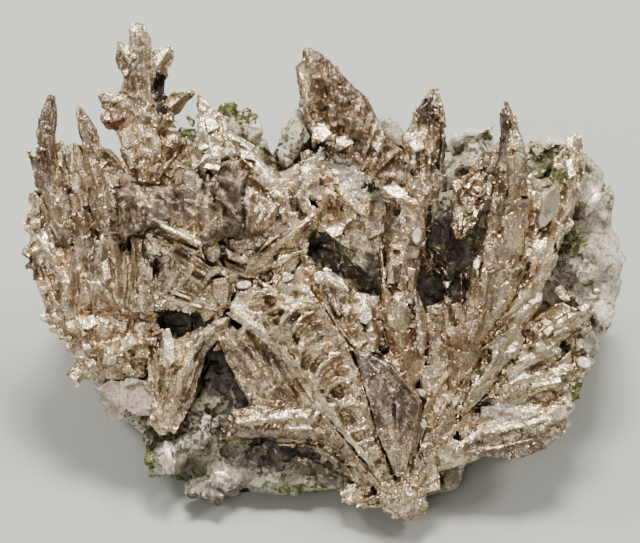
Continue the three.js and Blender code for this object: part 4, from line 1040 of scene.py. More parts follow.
def tongue_blade():
    """The flat brown tongue in the lower left."""
    grown = Growth("tongue_blade")
    grown.bed(
        [(-12, -14.6), (-8, -17), (-3, -22.6), (1, -29), (-1.6, -33), (-7, -31), (-10, -24), (-13.6, -19)],
        3.6
    )
    each(grown.knob,
         (-15.4, -31.4, 1.4), (-12.6, -31.8, 1.4), (-9.8, -31, 1.2), (-21.6, -20.4, 1.1), (-18.6, -26, 1.1),
         lift=0.2)
    grown.blade([(-10, -18, 1), (-5.4, -24, 1.8), (-1, -30.4, 1)], 2.2, 0.8)
    grown.blade([(-11, -20, 1), (-8.4, -25, 1.8), (-4.4, -30.6, 1)], 2, 0.6)
    grown.crumbs(-6.4, -24, (3.4, 5), 12, 0.7)
    grown.blade([(-17.4, -14, 1.2), (-13.4, -19.6, 1.8), (-9.8, -25, 2), (-7, -29.2, 1.2)], 2.2, 0.9)
    grown.blade([(-15.4, -17, 0.9), (-14, -19.6, 1.5), (-12.7, -21.8, 0.7)], 2, 1.5)
    grown.blade([(-23.6, -14.6, 0.9), (-21.4, -20, 1.3), (-17.6, -27, 1.3), (-15.6, -31, 0.9)], 1.6)
    each(grown.crumbs, (-14.4, -27, (4, 4), 16, 0.6, 0.25), (-20, -18, (3, 4), 6, 0.5, 0.2))
    each(grown.stain_and_painted_light,
         (PURPLE, -12.2, -18.6, (2.2, 3)), (WHITE, -13.9, -19.8, (0.9, 2)), (RUSTY, -9.6, -25, (2, 5), 0.8),
         (RUSTY, -18, -20, (3, 5), 0.5), (BRIGHT, -15, -28, (4, 3.4), 0.5), (GREY, -20, -18, (3, 4), 0.3))
    grown.finish("silver_brown", BROWN, (5, -60), ridges=((12, 2.2, 0.5),), faces=((3.4, 0.18), (1.2, 0.1)))


# ---- silver, from the middle to the right -------------------------------------------------------


def block_ridge():
    """The row of rounded crystal blocks along the upper edge of the centre frond."""
    grown = Growth("block_ridge")
    grown.bed([(9, -4.6), (15, -6), (16.8, -16), (14, -20), (8, -18.6), (2, -8)], 5)
    grown.bed([(-7, -3), (-5.6, 0.4), (-3.8, 3.4), (-1, 2.2), (-1.4, -2), (0, -9), (-4, -6)], 4.6)
    grown.bed(
        [(-1.7, -2), (-0.6, 0), (2.3, 0), (5.2, -1.4), (8.1, -4.3), (10.4, -4.9), (12.7, -6), (13.9, -9.5),
         (13.6, -13.5), (13.6, -18.7), (11, -19.3), (8.1, -18.2), (5.2, -16.4), (2.9, -13.5), (0.6, -8.9),
         (-1.2, -5.4)], 8
    )
    each(grown.knob, (-3, 2.4, 1.5), (-0.4, 1.2, 1.5), (-2.6, 0, 1.6), (1.6, 0.4, 1.1), lift=0.9)
    each(grown.knob,
         (0.8, -1.6, 1.8), (4.4, -3, 1.6), (8, -6.2, 1.6), (3, -6.4, 1.4), lift=0.4, squash=(1, 0.9, 0.8))
    each(grown.blade,
         ([(-0.8, -1.4, 1.4), (1, -7, 1.8), (4, -12.4, 1.8), (7.6, -17, 1.2)],),
         ([(2.4, -1.6, 1.3), (4, -7, 1.8), (8, -15, 1.2)],),
         ([(6, -3.4, 1.2), (7.6, -8, 1.6), (9.6, -13, 1)],),
         ([(7.4, -9, 1.2), (10, -13.6, 1.8), (12.4, -16.6, 1.1)],),
         ([(10, -8, 1.4), (11.6, -11.6, 1.8), (13.4, -15, 1.1)],), thick=2.2, lift=0.8)
    each(grown.knob,
         (6.2, -9, 1.6), (8.8, -12.8, 1.4), (11.2, -13.4, 1.5), (12.4, -16, 1.2), (9.6, -9.6, 1.4), lift=0.9)
    grown.crumbs(6, -8, (6, 6), 6, 0.6)
    each(grown.stain_and_painted_light,
         (WHITE, 1.4, -1.4, (3.2, 1.6), 0.7), (WHITE, 10, -9.6, (1.8, 1.4), 0.7),
         (BROWN, 6, -11, (3.4, 5), 0.45), (PAINTED_GAP_SHADE, 10.4, -13, (0.9, 0.9)), (WHITE, 10.4, -9.8, (1.7, 1.7)),
         (GREY, 0, -3.6, (1.3, 3), 0.7), (BROWN, -2, 1.6, (2.4, 1.8)), (GREY, 4, -5, (4, 2), 0.4))
    grown.plate(WHITE, [(9.3, -8.9), (11.6, -8.3), (12.1, -10.6), (10.6, -12.1), (9, -11.5)], 0.8)
    grown.plate(SATIN, oval(-0.2, -1.4, 1.3, 1.5), 0.7)
    grown.plate(WHITE, [(1.6, -1.8), (4, -2.2), (6, -4.2), (3.4, -3.6)], 0.7)
    grown.plate(GREY, [(1.4, -5), (3.2, -4.6), (5.4, -9.6), (4.2, -10.4)])
    grown.finish(
        "silver_bright", BRIGHT, (18, -40), ridges=((10, 1.8, 0.5),), faces=((3, 0.16), (1.2, 0.1)),
        low_tarnish_and_shade=SATIN, below=0.2,
    )


def centre_frond():
    """The large gold-tinted frond of crescent scales that runs up left from the root."""
    grown = Growth("centre_frond")
    each(grown.bed,
         ([(5, -15), (8, -18), (10.2, -25), (11.8, -31), (12.8, -36), (15, -42), (12, -44), (8, -34),
           (4, -24)], 9),
         ([(-2.4, -5), (-1.2, -5.4), (2.2, -10.6), (5.8, -16.6), (8.8, -23), (11, -29.5), (12.9, -36),
           (11.2, -35), (7.6, -28), (3.6, -21.5), (0.6, -17), (-1.6, -13), (-2.9, -9)], 9.7),
         ([(-22, -9.6), (-14.6, -15), (-10.4, -18.6), (-5.8, -24.2), (-2.2, -29.2), (1.8, -35.2),
           (7.6, -42.6), (12.8, -48.6), (15.4, -46), (14, -38), (11, -28), (6, -17), (0, -8), (-8, -9),
           (-16, -7)], 4.8))
    each(grown.blade,
         ([(-20.2, -8.8, 1.92), (-16.2, -11.8, 2.64), (-12.6, -14.4, 2.64), (-9.2, -17.2, 2.4)], 2.8, 1.6),
         ([(-9.2, -17.2, 2.4), (-6.6, -19.6, 2.52), (-3.6, -23.2, 2.64), (-0.6, -27, 2.64)], 2.8, 1.6),
         ([(-0.6, -27, 2.64), (3, -32.4, 2.64), (7, -38, 2.64), (13, -45, 2.16)], 2.8, 1.6),
         ([(-1.2, -5.4, 1.08), (2.2, -10.6, 1.32), (5.8, -16.6, 1.32)], 2.8, 1.0),
         ([(5.8, -16.6, 1.32), (8.8, -23, 1.44), (10.8, -30, 1.44), (12.2, -35, 1.2)], 2.8, 1.0),
         ([(-15.4, -6, 1.2), (-11.2, -5.2, 1.92), (-8, -6.4, 1.2)], 2.8, 1.4),
         ([(-13.4, -9.8, 1.2), (-9.6, -8.2, 1.92), (-7, -8.8, 1.08)], 2.8, 1.4),
         ([(-16.4, -8, 1.2), (-13.2, -7.2, 1.68), (-11.4, -8.4, 1.08)], 2.8, 1.2),
         ([(-11.8, -12.6, 1.2), (-11, -10.6, 1.68), (-9, -10, 0.96)], 2.8, 1.3),
         ([(-8.6, -14.6, 1.2), (-8.6, -11.2, 2.04), (-6, -8.8, 2.04), (-2.4, -7.7, 1.92),
           (-0.4, -8.6, 1.08)], 2.8, 1.7),
         ([(-6.6, -15.8, 1.08), (-5.6, -12.2, 1.92), (-3.2, -9.9, 1.92), (-1.2, -9.4, 1.08)], 2.8, 1.6),
         ([(-5.4, -18.4, 1.08), (-4.2, -14.4, 1.7999999999999998), (-1.6, -12.2, 1.7999999999999998),
           (0.4, -11.8, 0.96)], 2.8, 1.5),
         ([(-4.4, -21, 1.08), (-4.4, -18, 1.92), (-2.6, -15.6, 1.92), (0.6, -14.4, 1.08)], 2.8, 1.6),
         ([(-2.6, -22.6, 0.96), (-1.4, -19.4, 1.7999999999999998), (0.8, -17.4, 1.68),
           (2.6, -16.8, 0.96)], 2.8, 1.5),
         ([(-1.2, -24.6, 0.96), (0.4, -21.6, 1.7999999999999998), (2.8, -19.6, 1.68),
           (5, -19.2, 0.96)], 2.8, 1.5),
         ([(0.2, -26.8, 1.08), (1.6, -24.2, 1.92), (4, -22.4, 1.7999999999999998),
           (6.4, -22.2, 1.08)], 2.8, 1.6),
         ([(1.2, -29, 1.08), (2.2, -26.2, 1.7999999999999998), (4.6, -24.8, 1.7999999999999998),
           (7, -25.6, 1.08)], 2.8, 1.6),
         ([(2.6, -28.8, 1.2), (4.6, -29.8, 1.68), (6.8, -28.6, 1.08)], 2.8, 1.5),
         ([(4, -33.4, 1.08), (5, -30.9, 1.7999999999999998), (7.6, -30.2, 1.7999999999999998),
           (9.8, -31.4, 1.08)], 2.8, 1.6),
         ([(5.8, -34.8, 1.08), (8, -35.6, 1.68), (10.2, -34, 1.08)], 2.8, 1.5),
         ([(6.4, -38, 0.96), (7.6, -36.4, 1.56), (10.4, -36.4, 1.2)], 2.8, 1.4),
         ([(8.4, -41, 0.96), (9.8, -39, 1.68), (12.6, -38.8, 1.2)], 2.8, 1.4),
         ([(10.6, -43.4, 0.96), (12, -41.6, 1.56), (14.4, -41.2, 1.08)], 2.8, 1.3),
         ([(-6.6, -3.2, 1.2), (-4, -3.6, 2.16), (-1.2, -5.2, 1.44)], 2.8, 1.5))
    each(grown.crumbs,
         (-10, -9, (6, 4), 6, 0.5, 0.2), (-5, -17, (3, 5), 6, 0.5, 0.2), (4, -31, (3, 6), 8, 0.5, 0.25),
         (9, -39, (4, 5), 10, 0.55, 0.25))
    each(grown.stain_and_painted_light,
         (WHITE, -4, -3.8, (3, 1.2), 0.7), (WHITE, -12, -14.6, (3.4, 1.2), 0.35),
         (BRIGHT, -13, -8, (6, 3.4), 0.7), (BROWN, 5.4, -27.4, (1.3, 1.1), 0.9),
         (BROWN, 7.6, -33, (1.3, 1.1), 0.9), (BROWN, -1, -9.6, (1.6, 4)), (BROWN, 2, -14.6, (2.4, 4)),
         (BROWN, 5, -20.4, (2.6, 4)), (BROWN, 8.4, -27.4, (1.8, 4)), (BROWN, 11.2, -33, (1.3, 3)),
         (RUST, 1, -24, (1.2, 1.2), 0.3))
    each(grown.plate, (WHITE, oval(-7.2, -1.5, 1.7, 0.7, 25), 0.9), (WHITE, oval(-4, -4, 1.9, 0.7, -25), 0.9))
    grown.finish(
        "silver_bright", BRIGHT, (16, -50), ridges=((9, 1.7, 0.45),), low_tarnish_and_shade=SATIN, below=0.25, painted_crest_highlight=WHITE,
        above=1.2,
    )


def dark_leaf():
    """The smooth purple-grey leaf low in the middle."""
    grown = Growth("dark_leaf")
    each(grown.bed,
         ([(6.6, -16.6), (9, -27), (10.8, -36), (12, -42), (22, -42), (23.6, -36), (23.6, -30), (19, -22),
           (12, -17)], 7),
         ([(7.2, -17.8), (11.1, -18.2), (14.8, -20.7), (17.9, -23.2), (21.1, -26.3), (22.3, -29.5),
           (22.6, -33.2), (21.7, -37), (20.6, -42), (19.4, -47), (17.4, -47), (14.8, -41), (12.9, -37),
           (12.3, -33.2), (11.7, -28.9), (10.4, -25.1), (9.2, -22), (7.9, -19.5)], 10.8))
    grown.blade([(9, -18.6, 0.9), (14.2, -24.4, 1.8), (17.4, -31, 2.4), (18.2, -40, 1.8)], 2, 0.2)
    grown.blade([(12.6, -19, 1), (16.6, -22.2, 1.6), (19.8, -26, 1.6), (22.6, -30, 1.1)], 2, 0.9)
    grown.blade([(7.8, -19.6, 0.9), (9.8, -24.4, 1.2), (11.6, -29.4, 1.2), (12.8, -35, 1)], 1.8, 0.6)
    grown.knob(22.4, -27.6, 1.2, 0.9)
    each(grown.stain_and_painted_light,
         (BRIGHT, 10.2, -26.6, (0.8, 6)), (WHITE, 22.6, -27.8, (0.9, 0.9)), (PURPLE, 12, -21, (5, 4)),
         (PURPLE, 17, -30, (4.6, 5), 0.6), (BROWN, 18, -40, (4, 5), 0.8), (PAINTED_GAP_SHADE, 17, -31.4, (0.5, 2.6)))
    grown.finish("silver_grey", GREY, (20, -50), ridges=((12, 2.2, 0.4),), faces=((3.4, 0.14), (1.2, 0.07)))


def lower_band():
    """The two bright sugary bands along the lower left."""
    grown = Growth("lower_band")
    grown.bed([(-20.4, -31.6), (-12, -30.4), (-4, -30), (1, -31.4), (2.4, -34.4), (-20, -36)], 3.6)
    grown.bed([(2.6, -34), (9, -31), (14, -36), (18, -42), (17, -50), (12, -49), (6, -42), (0.4, -38)], 4.2)
    each(grown.blade,
         ([(1, -33.4, 1), (6, -39.4, 1.8), (13, -47.6, 1.1)], 2, 0.7),
         ([(2.4, -36, 1), (7.6, -42, 1.8), (14, -49, 1.1)], 2, 0.7),
         ([(9, -34, 0.9), (12, -39.4, 1.6), (15.6, -46, 1)], 2, 0.7),
         ([(-21.2, -37, 1.6), (-17, -34.6, 2.8), (-10, -33.8, 3), (-4.4, -33.2, 3), (0, -35, 3),
           (3.4, -38.4, 1.8)], 3, 1.1),
         ([(-3, -40.4, 1.8), (1, -41.6, 3), (5, -44.4, 3.6), (8.6, -47.4, 3.4), (12, -51.6, 2.4)], 3, 1),
         ([(-20, -38.4, 1.4), (-12, -37.4, 2), (-4, -37.4, 1.6)], 2, 0.2),
         ([(-6.4, -46, 1.2), (-5, -44.4, 2), (-3, -43, 1.3)], 2, 0.9))
    each(grown.knob,
         (-19, -35.2, 1.3), (-15.4, -33.6, 1.2), (-12.4, -33.8, 1.5), (-8.6, -33, 1.2), (-5.8, -33.6, 1.5),
         (-2.4, -33, 1.3), (1, -35.4, 1.4), (3, -37.8, 1.2), (2.6, -42.2, 1.5), (6.4, -45, 1.6),
         (9.4, -48, 1.5), (11.4, -50.6, 1.3), (0, -41, 1.3), lift=1.2)
    each(grown.crumbs,
         (-9, -34, (12, 2.2), 32, 0.8, 0.8), (5.6, -45.4, (6, 3.4), 20, 0.8, 0.7),
         (-4.6, -44.6, (2.4, 1.8), 4, 0.7), (-6, -31.8, (4, 1.2), 4, 0.7))
    # The white strip along the band's upper edge at (-9, -33) is painted highlight, and the grey strip along
    # its lower edge at (-10, -37.4) is painted shade.
    each(grown.stain_and_painted_light,
         (WHITE, -9, -33, (13, 1.2), 0.55), (WHITE, 5, -44, (5, 2), 0.3), (GOLD, -8, -35.2, (12, 1.1), 0.8),
         (GREY, -10, -37.4, (12, 1.9)), (GREY, 6, -41.6, (4, 1), 0.7), (GREY, -4.6, -44.6, (2.4, 2), 0.4))
    grown.finish("silver_bright", SATIN, (25, -60), low_tarnish_and_shade=BROWN, below=0.6)


def root_knot():
    """The grainy knot at the bottom, from which all fronds spread."""
    grown = Growth("root_knot")
    grown.bed([(12, -45), (18, -43), (27, -43), (28, -50), (21, -52), (13, -51)], 4.6)
    each(grown.blade,
         ([(14, -43, 0.9), (16.4, -47, 1.7), (18.6, -51, 1)], 2, 0.8),
         ([(18, -41.6, 0.9), (18.8, -46, 1.7), (19.6, -51, 1)], 2, 0.8),
         ([(22.4, -41, 0.9), (21.4, -46, 1.7), (20.4, -51, 1)], 2, 0.8),
         ([(26, -42, 0.9), (23.8, -46.4, 1.7), (21.6, -51, 1)], 2, 0.8),
         ([(4.6, -53, 1), (9, -53, 1.8), (15, -51.6, 1.6)], 2, 0.7),
         ([(8, -54.2, 0.9), (13, -54.2, 1.6), (18, -53, 1.4)], 2, 0.7),
         ([(16.6, -57, 1), (18.6, -54.6, 1.8), (20.6, -51, 1.4)], 2, 0.7),
         ([(24.4, -56.2, 1), (23, -53.6, 1.8), (21.4, -50.6, 1.4)], 2, 0.7))
    grown.crumbs(19.6, -53.6, (4.8, 3.4), 24, 0.9, 0.7)
    each(grown.crumbs, (10, -53.4, (6, 1.2), 8, 0.7, 0.5), (20, -49, (4, 2), 8, 0.8, 0.6))
    each(grown.stain_and_painted_light,
         (BROWN, 10, -54.4, (7, 1), 0.7), (WHITE, 19, -51.4, (3, 1.6), 0.4), (GREY, 21, -56, (4, 1.4), 0.5))
    grown.finish("silver_bright", BRIGHT, (20, -52))


def centre_plate():
    """The crumbly plate between the upper leaf and the middle spike."""
    grown = Growth("centre_plate")
    grown.bed([(11, 7), (15, 9), (15.4, 19), (13, 22), (9, 20)], 4.4)
    each(grown.blade,
         ([(-5.8, 12, 1.4), (-3, 16.4, 2.4), (-1.4, 21, 2.4), (-1, 25, 1.4)],),
         ([(-3.6, 9.6, 1.4), (0, 13.4, 2.6), (2, 18, 2.6), (1.6, 22.6, 1.4)],),
         ([(0.6, 8.4, 1.2), (3.6, 11.4, 2.4), (5, 16, 2.4), (4.8, 20, 1.4)],),
         ([(4, 9, 1.2), (7.4, 12, 2.4), (8.4, 17, 2.4), (8, 22, 1.4)],),
         ([(8.6, 9.8, 1.4), (11, 13, 2.4), (11.8, 17.6, 2), (11.4, 21, 1.2)],),
         ([(-4.4, 17, 1), (-2.6, 19.8, 1.8), (0.4, 22, 1.2)],), thick=2.2)
    each(grown.crumbs, (2, 16, (7.4, 7.4), 36, 0.9, 0.4), (10, 15, (2.4, 5), 9, 0.9, 0.5))
    each(grown.stain_and_painted_light,
         (GOLD, 1, 17, (6.4, 7), 0.75), (RUST, 1.6, 20.6, (1.8, 1.2), 0.8), (RUST, 3.4, 15, (1.9, 2.4), 0.6),
         (PINK_CALCITE, -1, 19, (1.2, 1.6)), (DULL_CALCITE, 4, 25, (2.2, 1.8), 0.85),
         (DULL_CALCITE, 6.4, 23, (2.2, 1.8), 0.85), (DULL_CALCITE, 9, 20.8, (2.2, 1.8), 0.85),
         (DULL_CALCITE, 11.6, 18.6, (2.2, 1.8), 0.85), (DULL_CALCITE, 13.4, 16.6, (2.2, 1.8), 0.85),
         (PAINTED_GAP_SHADE, 11.6, 19.4, (2, 1.2), 0.7), (CALCITE, 8.4, 18, (3, 4), 0.4), (WHITE, 11.6, 12, (2, 1.8), 0.6),
         (PAINTED_GAP_SHADE, 2.4, 8.6, (3, 0.8), 0.8))
    grown.plate(
        GOLD, [(2.9, 20), (5.8, 18.9), (10.4, 14.8), (11.6, 12.3), (9.3, 12.9), (5.2, 16.7)], 0.6,
        (0.05, -0.24)
    )
    grown.plate(WHITE, [(0.9, 9.6), (3.5, 11), (5.8, 10.2), (5.2, 8.4), (2.9, 7.6)], 0.7, (0, -0.35))
    grown.finish("silver_bright", BRIGHT, (10, -20), low_tarnish_and_shade=SATIN, below=0.2)


def top_blade():
    """The brown triangular blade at the top, in the middle."""
    grown = Growth("top_blade")
    grown.bed([(7, 27), (11, 33.6), (15, 31), (19.4, 28), (19.6, 20), (14, 18), (8, 21)], 3)
    each(grown.blade,
         ([(11, 20, 1), (14, 24, 2), (18.4, 28, 1.1)],), ([(9.4, 23, 1), (12.6, 27, 1.8), (16.4, 31, 1)],),
         ([(13.4, 18.6, 1), (16, 21.6, 1.8), (19.6, 24.4, 1)],), thick=2.2, lift=0.8)
    grown.crumbs(14.6, 24, (4.6, 5.4), 18, 0.9, 0.4)
    each(grown.blade,
         ([(-3.2, 51.8, 1.2), (-2.4, 48, 2.8), (-1, 43, 3.6), (0.6, 37, 4)],),
         ([(-5.4, 47.6, 1.2), (-4.2, 44, 2.6), (-3, 39, 3), (-2.2, 34, 3)],),
         ([(1.8, 48.8, 1.2), (2.4, 45, 2.6), (3, 40, 3), (3.4, 35, 3)],),
         ([(7.8, 42.3, 1.2), (7.6, 39, 2.6), (7.2, 34.6, 3), (6.4, 30, 3)],),
         ([(13.4, 35, 1.2), (12.4, 32, 2.4), (10.8, 28, 2.6), (9.6, 24.4, 2)],),
         ([(14.6, 31.6, 1), (13.6, 28, 2), (12.2, 24, 1.8)],),
         ([(4.6, 45.4, 1), (5.6, 41, 2), (5.4, 36.6, 2)],),
         ([(10.4, 39.4, 1), (10, 36, 2.2), (9.2, 31.6, 2)],), thick=2.6, lift=0.6)
    each(grown.crumbs,
         (2, 41, (4.4, 8), 24, 0.6, 0.2), (8, 35, (4.6, 6), 20, 0.6, 0.2), (-3.4, 44, (1.6, 5), 10, 0.7, 0.4),
         (6, 28, (5, 3), 14, 0.9, 0.5), (12, 25, (2.4, 4), 9, 0.8, 0.4))
    each(grown.knob,
         (-1.6, 33, 1.7), (0.8, 31.8, 1.7), (3.2, 31, 1.5), (5, 29, 1.5), (-2.6, 30.4, 1.4), (3, 34, 1.3),
         lift=1.1)
    each(grown.stain_and_painted_light,
         (WHITE, 14, 26, (2, 1.6), 0.6), (WHITE, 17.6, 22, (1.6, 1.6), 0.6),
         (WHITE, 0.8, 32.2, (3.4, 1.7), 0.6), (WHITE, 5.2, 28.8, (2.2, 1.2), 0.6),
         (BROWN, 3, 42, (3.6, 8), 0.35), (GOLD, -3.6, 44, (1.4, 5), 0.8), (GOLD, -2, 38, (2, 3), 0.5),
         (PAINTED_GAP_SHADE, -2.8, 31.6, (1, 1.3)), (PAINTED_GAP_SHADE, 0.4, 28.8, (1.8, 1.2)), (PAINTED_GAP_SHADE, 3.2, 26.2, (2.2, 1.4), 0.8),
         (DULL_CALCITE, 4, 25.4, (2.4, 1.9)), (DULL_CALCITE, 6.4, 23.4, (2.4, 1.9)),
         (DULL_CALCITE, 9, 21.2, (2.4, 1.9)), (DULL_CALCITE, 11.6, 19, (2.4, 1.9)),
         (SATIN, 13.6, 31, (1.4, 4)), (WHITE, 2.4, 30.6, (4, 1.3), 0.6))
    grown.plate(WHITE, [(-1.7, 33.1), (1.2, 33.7), (2.9, 31.6), (0.6, 29.7), (-1.9, 30.4)], 0.7, (0, -0.4))
    grown.plate(GOLD, [(3.5, 30.8), (6.4, 31.4), (8.1, 29.5), (5.8, 28.4), (3.7, 29)], 0.7, (0, -0.29))
    grown.plate(BROWN, [(11, 41), (13, 42.4), (15, 38), (13.4, 35.6), (11.4, 37)], 0.4, (0.1, 0.15))
    grown.finish("silver_brown", RUSTY, (22, -5), ridges=((8, 1.7, 0.5),), faces=((2.2, 0.18), (1, 0.16)))


def middle_spike():
    """The long spike that rises from the root up the middle of the right half."""
    grown = Growth("middle_spike")
    grown.bed(
        [(25.4, 41.8), (24, 39.8), (22.5, 38), (21.5, 35), (20.3, 33.3), (19.5, 31.8), (20.2, 29), (20.4, 24),
         (20, 19), (26.6, 18), (28.5, 21), (28.2, 25), (29.2, 28.5), (28.3, 32), (28.7, 35.5), (27.9, 39),
         (26.9, 42.2)], 14, 4
    )
    each(grown.blade,
         ([(26.5, 41.8, 1), (25.8, 38.4, 2), (25.2, 33, 2.2), (25, 27, 2.2), (24.6, 20, 2)], 2.4, 1.2),
         ([(27.6, 38.6, 1), (27.6, 34, 1.6), (28, 29, 1.6), (27.2, 23, 1.4)], 1.8, 0.6),
         ([(23.4, 38, 1.2), (22.4, 34.4, 2), (21.8, 29, 2), (22, 23, 1.8)], 1.8, 0.3),
         ([(19, 12, 5), (19, 4, 7), (18.4, -5, 6.4), (18, -12, 4.6), (18.6, -18, 2.8)], 3.4),
         ([(21.4, -4.4, 1.2), (22.6, -10.6, 2.2), (23.2, -16, 2.4), (22.8, -20, 1.3)], 2.4, 1),
         ([(14.4, 15, 0.9), (14, 7, 1.5), (14.6, -2, 1.5), (16, -12, 1.1)], 2, 0.9),
         ([(23.6, 14, 0.9), (24, 8, 1.4), (23.4, 1, 1.2)], 2, 0.8),
         ([(13.6, 19.4, 1), (17.4, 17.6, 1.8), (22, 15, 1.2)], 2, 1),
         ([(14.4, 21.6, 0.9), (18, 19.6, 1.6), (22.4, 17, 1)], 2, 1),
         ([(15.6, 24.2, 0.9), (18, 22.2, 1.8), (21.4, 18.8, 1.1)], 2, 1),
         ([(13.6, 17, 0.8), (16.6, 15.4, 1.5), (20.6, 13, 0.9)], 2, 1),
         ([(25.4, 22, 0.9), (24.6, 18.6, 1.6), (23, 15.4, 1.1)], 2, 1))
    grown.sheet([(13.4, 19), (15, 19.8), (19, 18.2), (21.2, 16), (19.6, 15.4), (16, 16.4)], 2, 1.4, (0, 0.3))
    grown.sheet([(15.6, 6.4), (17.6, 6.8), (20, 6.2), (18.4, 5.2), (16.4, 5.4)], 1.6, 1.2, (0, 0.3))
    grown.sheet([(16.8, -3.4), (18.4, -4), (19.4, -6.6), (18, -8), (16.6, -6)], 1.6, 1.1, (0.2, 0.2))
    grown.knob(14.6, 25.6, 1.4, 1)
    each(grown.knob,
         (20, 30.4, 1.4), (22, 29.4, 1.4), (23.6, 31, 1.2), (19.6, 28, 1.2), (21, 24.4, 1.2), lift=0.9)
    each(grown.crumbs,
         (21, 27, (4, 4), 10, 0.7), (17, 20, (4, 4), 10, 0.6), (22, -14, (1.8, 5), 6, 0.6), lift=0.4)
    each(grown.stain_and_painted_light,
         (PURPLE, 24.2, 36.8, (2, 3.6)), (GOLD, 22.2, 33.6, (1.2, 1.6)), (GREY, 27.6, 24, (1.3, 9), 0.8),
         (PURPLE, 18.6, 25, (1.8, 2.6)), (PURPLE, 17, 11.6, (3, 1.6)), (WHITE, 26.8, 41.2, (1.2, 0.8)),
         (WHITE, 22, 8.4, (1.3, 2.2)), (WHITE, 17.4, 17.6, (3.6, 1.5), 0.85), (WHITE, 17.8, 5.9, (2, 0.8)),
         (WHITE, 18.5, 12.8, (0.9, 1.2)), (WHITE, 18, -5.6, (1.2, 2)), (WHITE, 22.8, -11, (1.6, 7)),
         (GOLD, 18.4, -15, (2.2, 5), 0.6), (WHITE, 21.8, 29.8, (2.6, 2.2)), (RUST, 20.4, -15, (1, 1.6), 0.7),
         (GOLD, 20.2, 20.6, (1.7, 1.9), 0.8), (PAINTED_GAP_SHADE, 24.9, 10, (0.7, 6), 0.8))
    each(grown.plate,
         (PAINTED_GLINT, oval(22, 8.2, 1.2, 1.9), 1, (0.1, -0.25)),
         (WHITE, oval(17.8, 5.6, 2, 0.7, -8), 0.9, (0, -0.35)),
         (WHITE, [(13.8, 19.4), (17.4, 20), (21.6, 17.1), (19.7, 16.2), (16.2, 17.1)], 0.8, (0.05, -0.45)),
         (WHITE, [(14, 25.2), (16.4, 25.8), (17.8, 24.2), (15.6, 23.4)], 0.8, (0, -0.45)),
         (GOLD, [(19.9, 29.4), (23.1, 30.2), (24.1, 27.9), (21.4, 26.9)], 0.7, (0.1, -0.29)),
         (WHITE, [(17.6, 14.2), (19.2, 12.8), (17, 13)], 0.8, (0, -0.35)),
         (GOLD, [(17.6, -4), (19.1, -5.4), (17.9, -7.5), (16.4, -6)], 0.7, (0.1, -0.24)),
         (WHITE, [(26.3, 42), (27.1, 41.8), (27.2, 39.6), (26, 39.8)], 0.4),
         (PURPLE, [(22.6, 37), (24.8, 38.8), (25.2, 35), (23.2, 33.6)], 0.5, (-0.15, 0.15)),
         (RUSTY, [(16.4, 1.6), (18.4, 2), (18.6, -2.4), (17, -2.8)], 0.5, (-0.1, 0.2)),
         (BROWN, [(19.8, 1), (21.8, 0.6), (21.4, -5), (19.8, -4)], 0.5, (0.15, 0.15)))
    grown.finish(
        "silver_brown", BROWN, (16, -70), ridges=((14, 2.2, 0.5),), faces=((5, 0.34), (1.8, 0.2)),
        painted_crest_highlight=BRIGHT, above=1.1,
    )


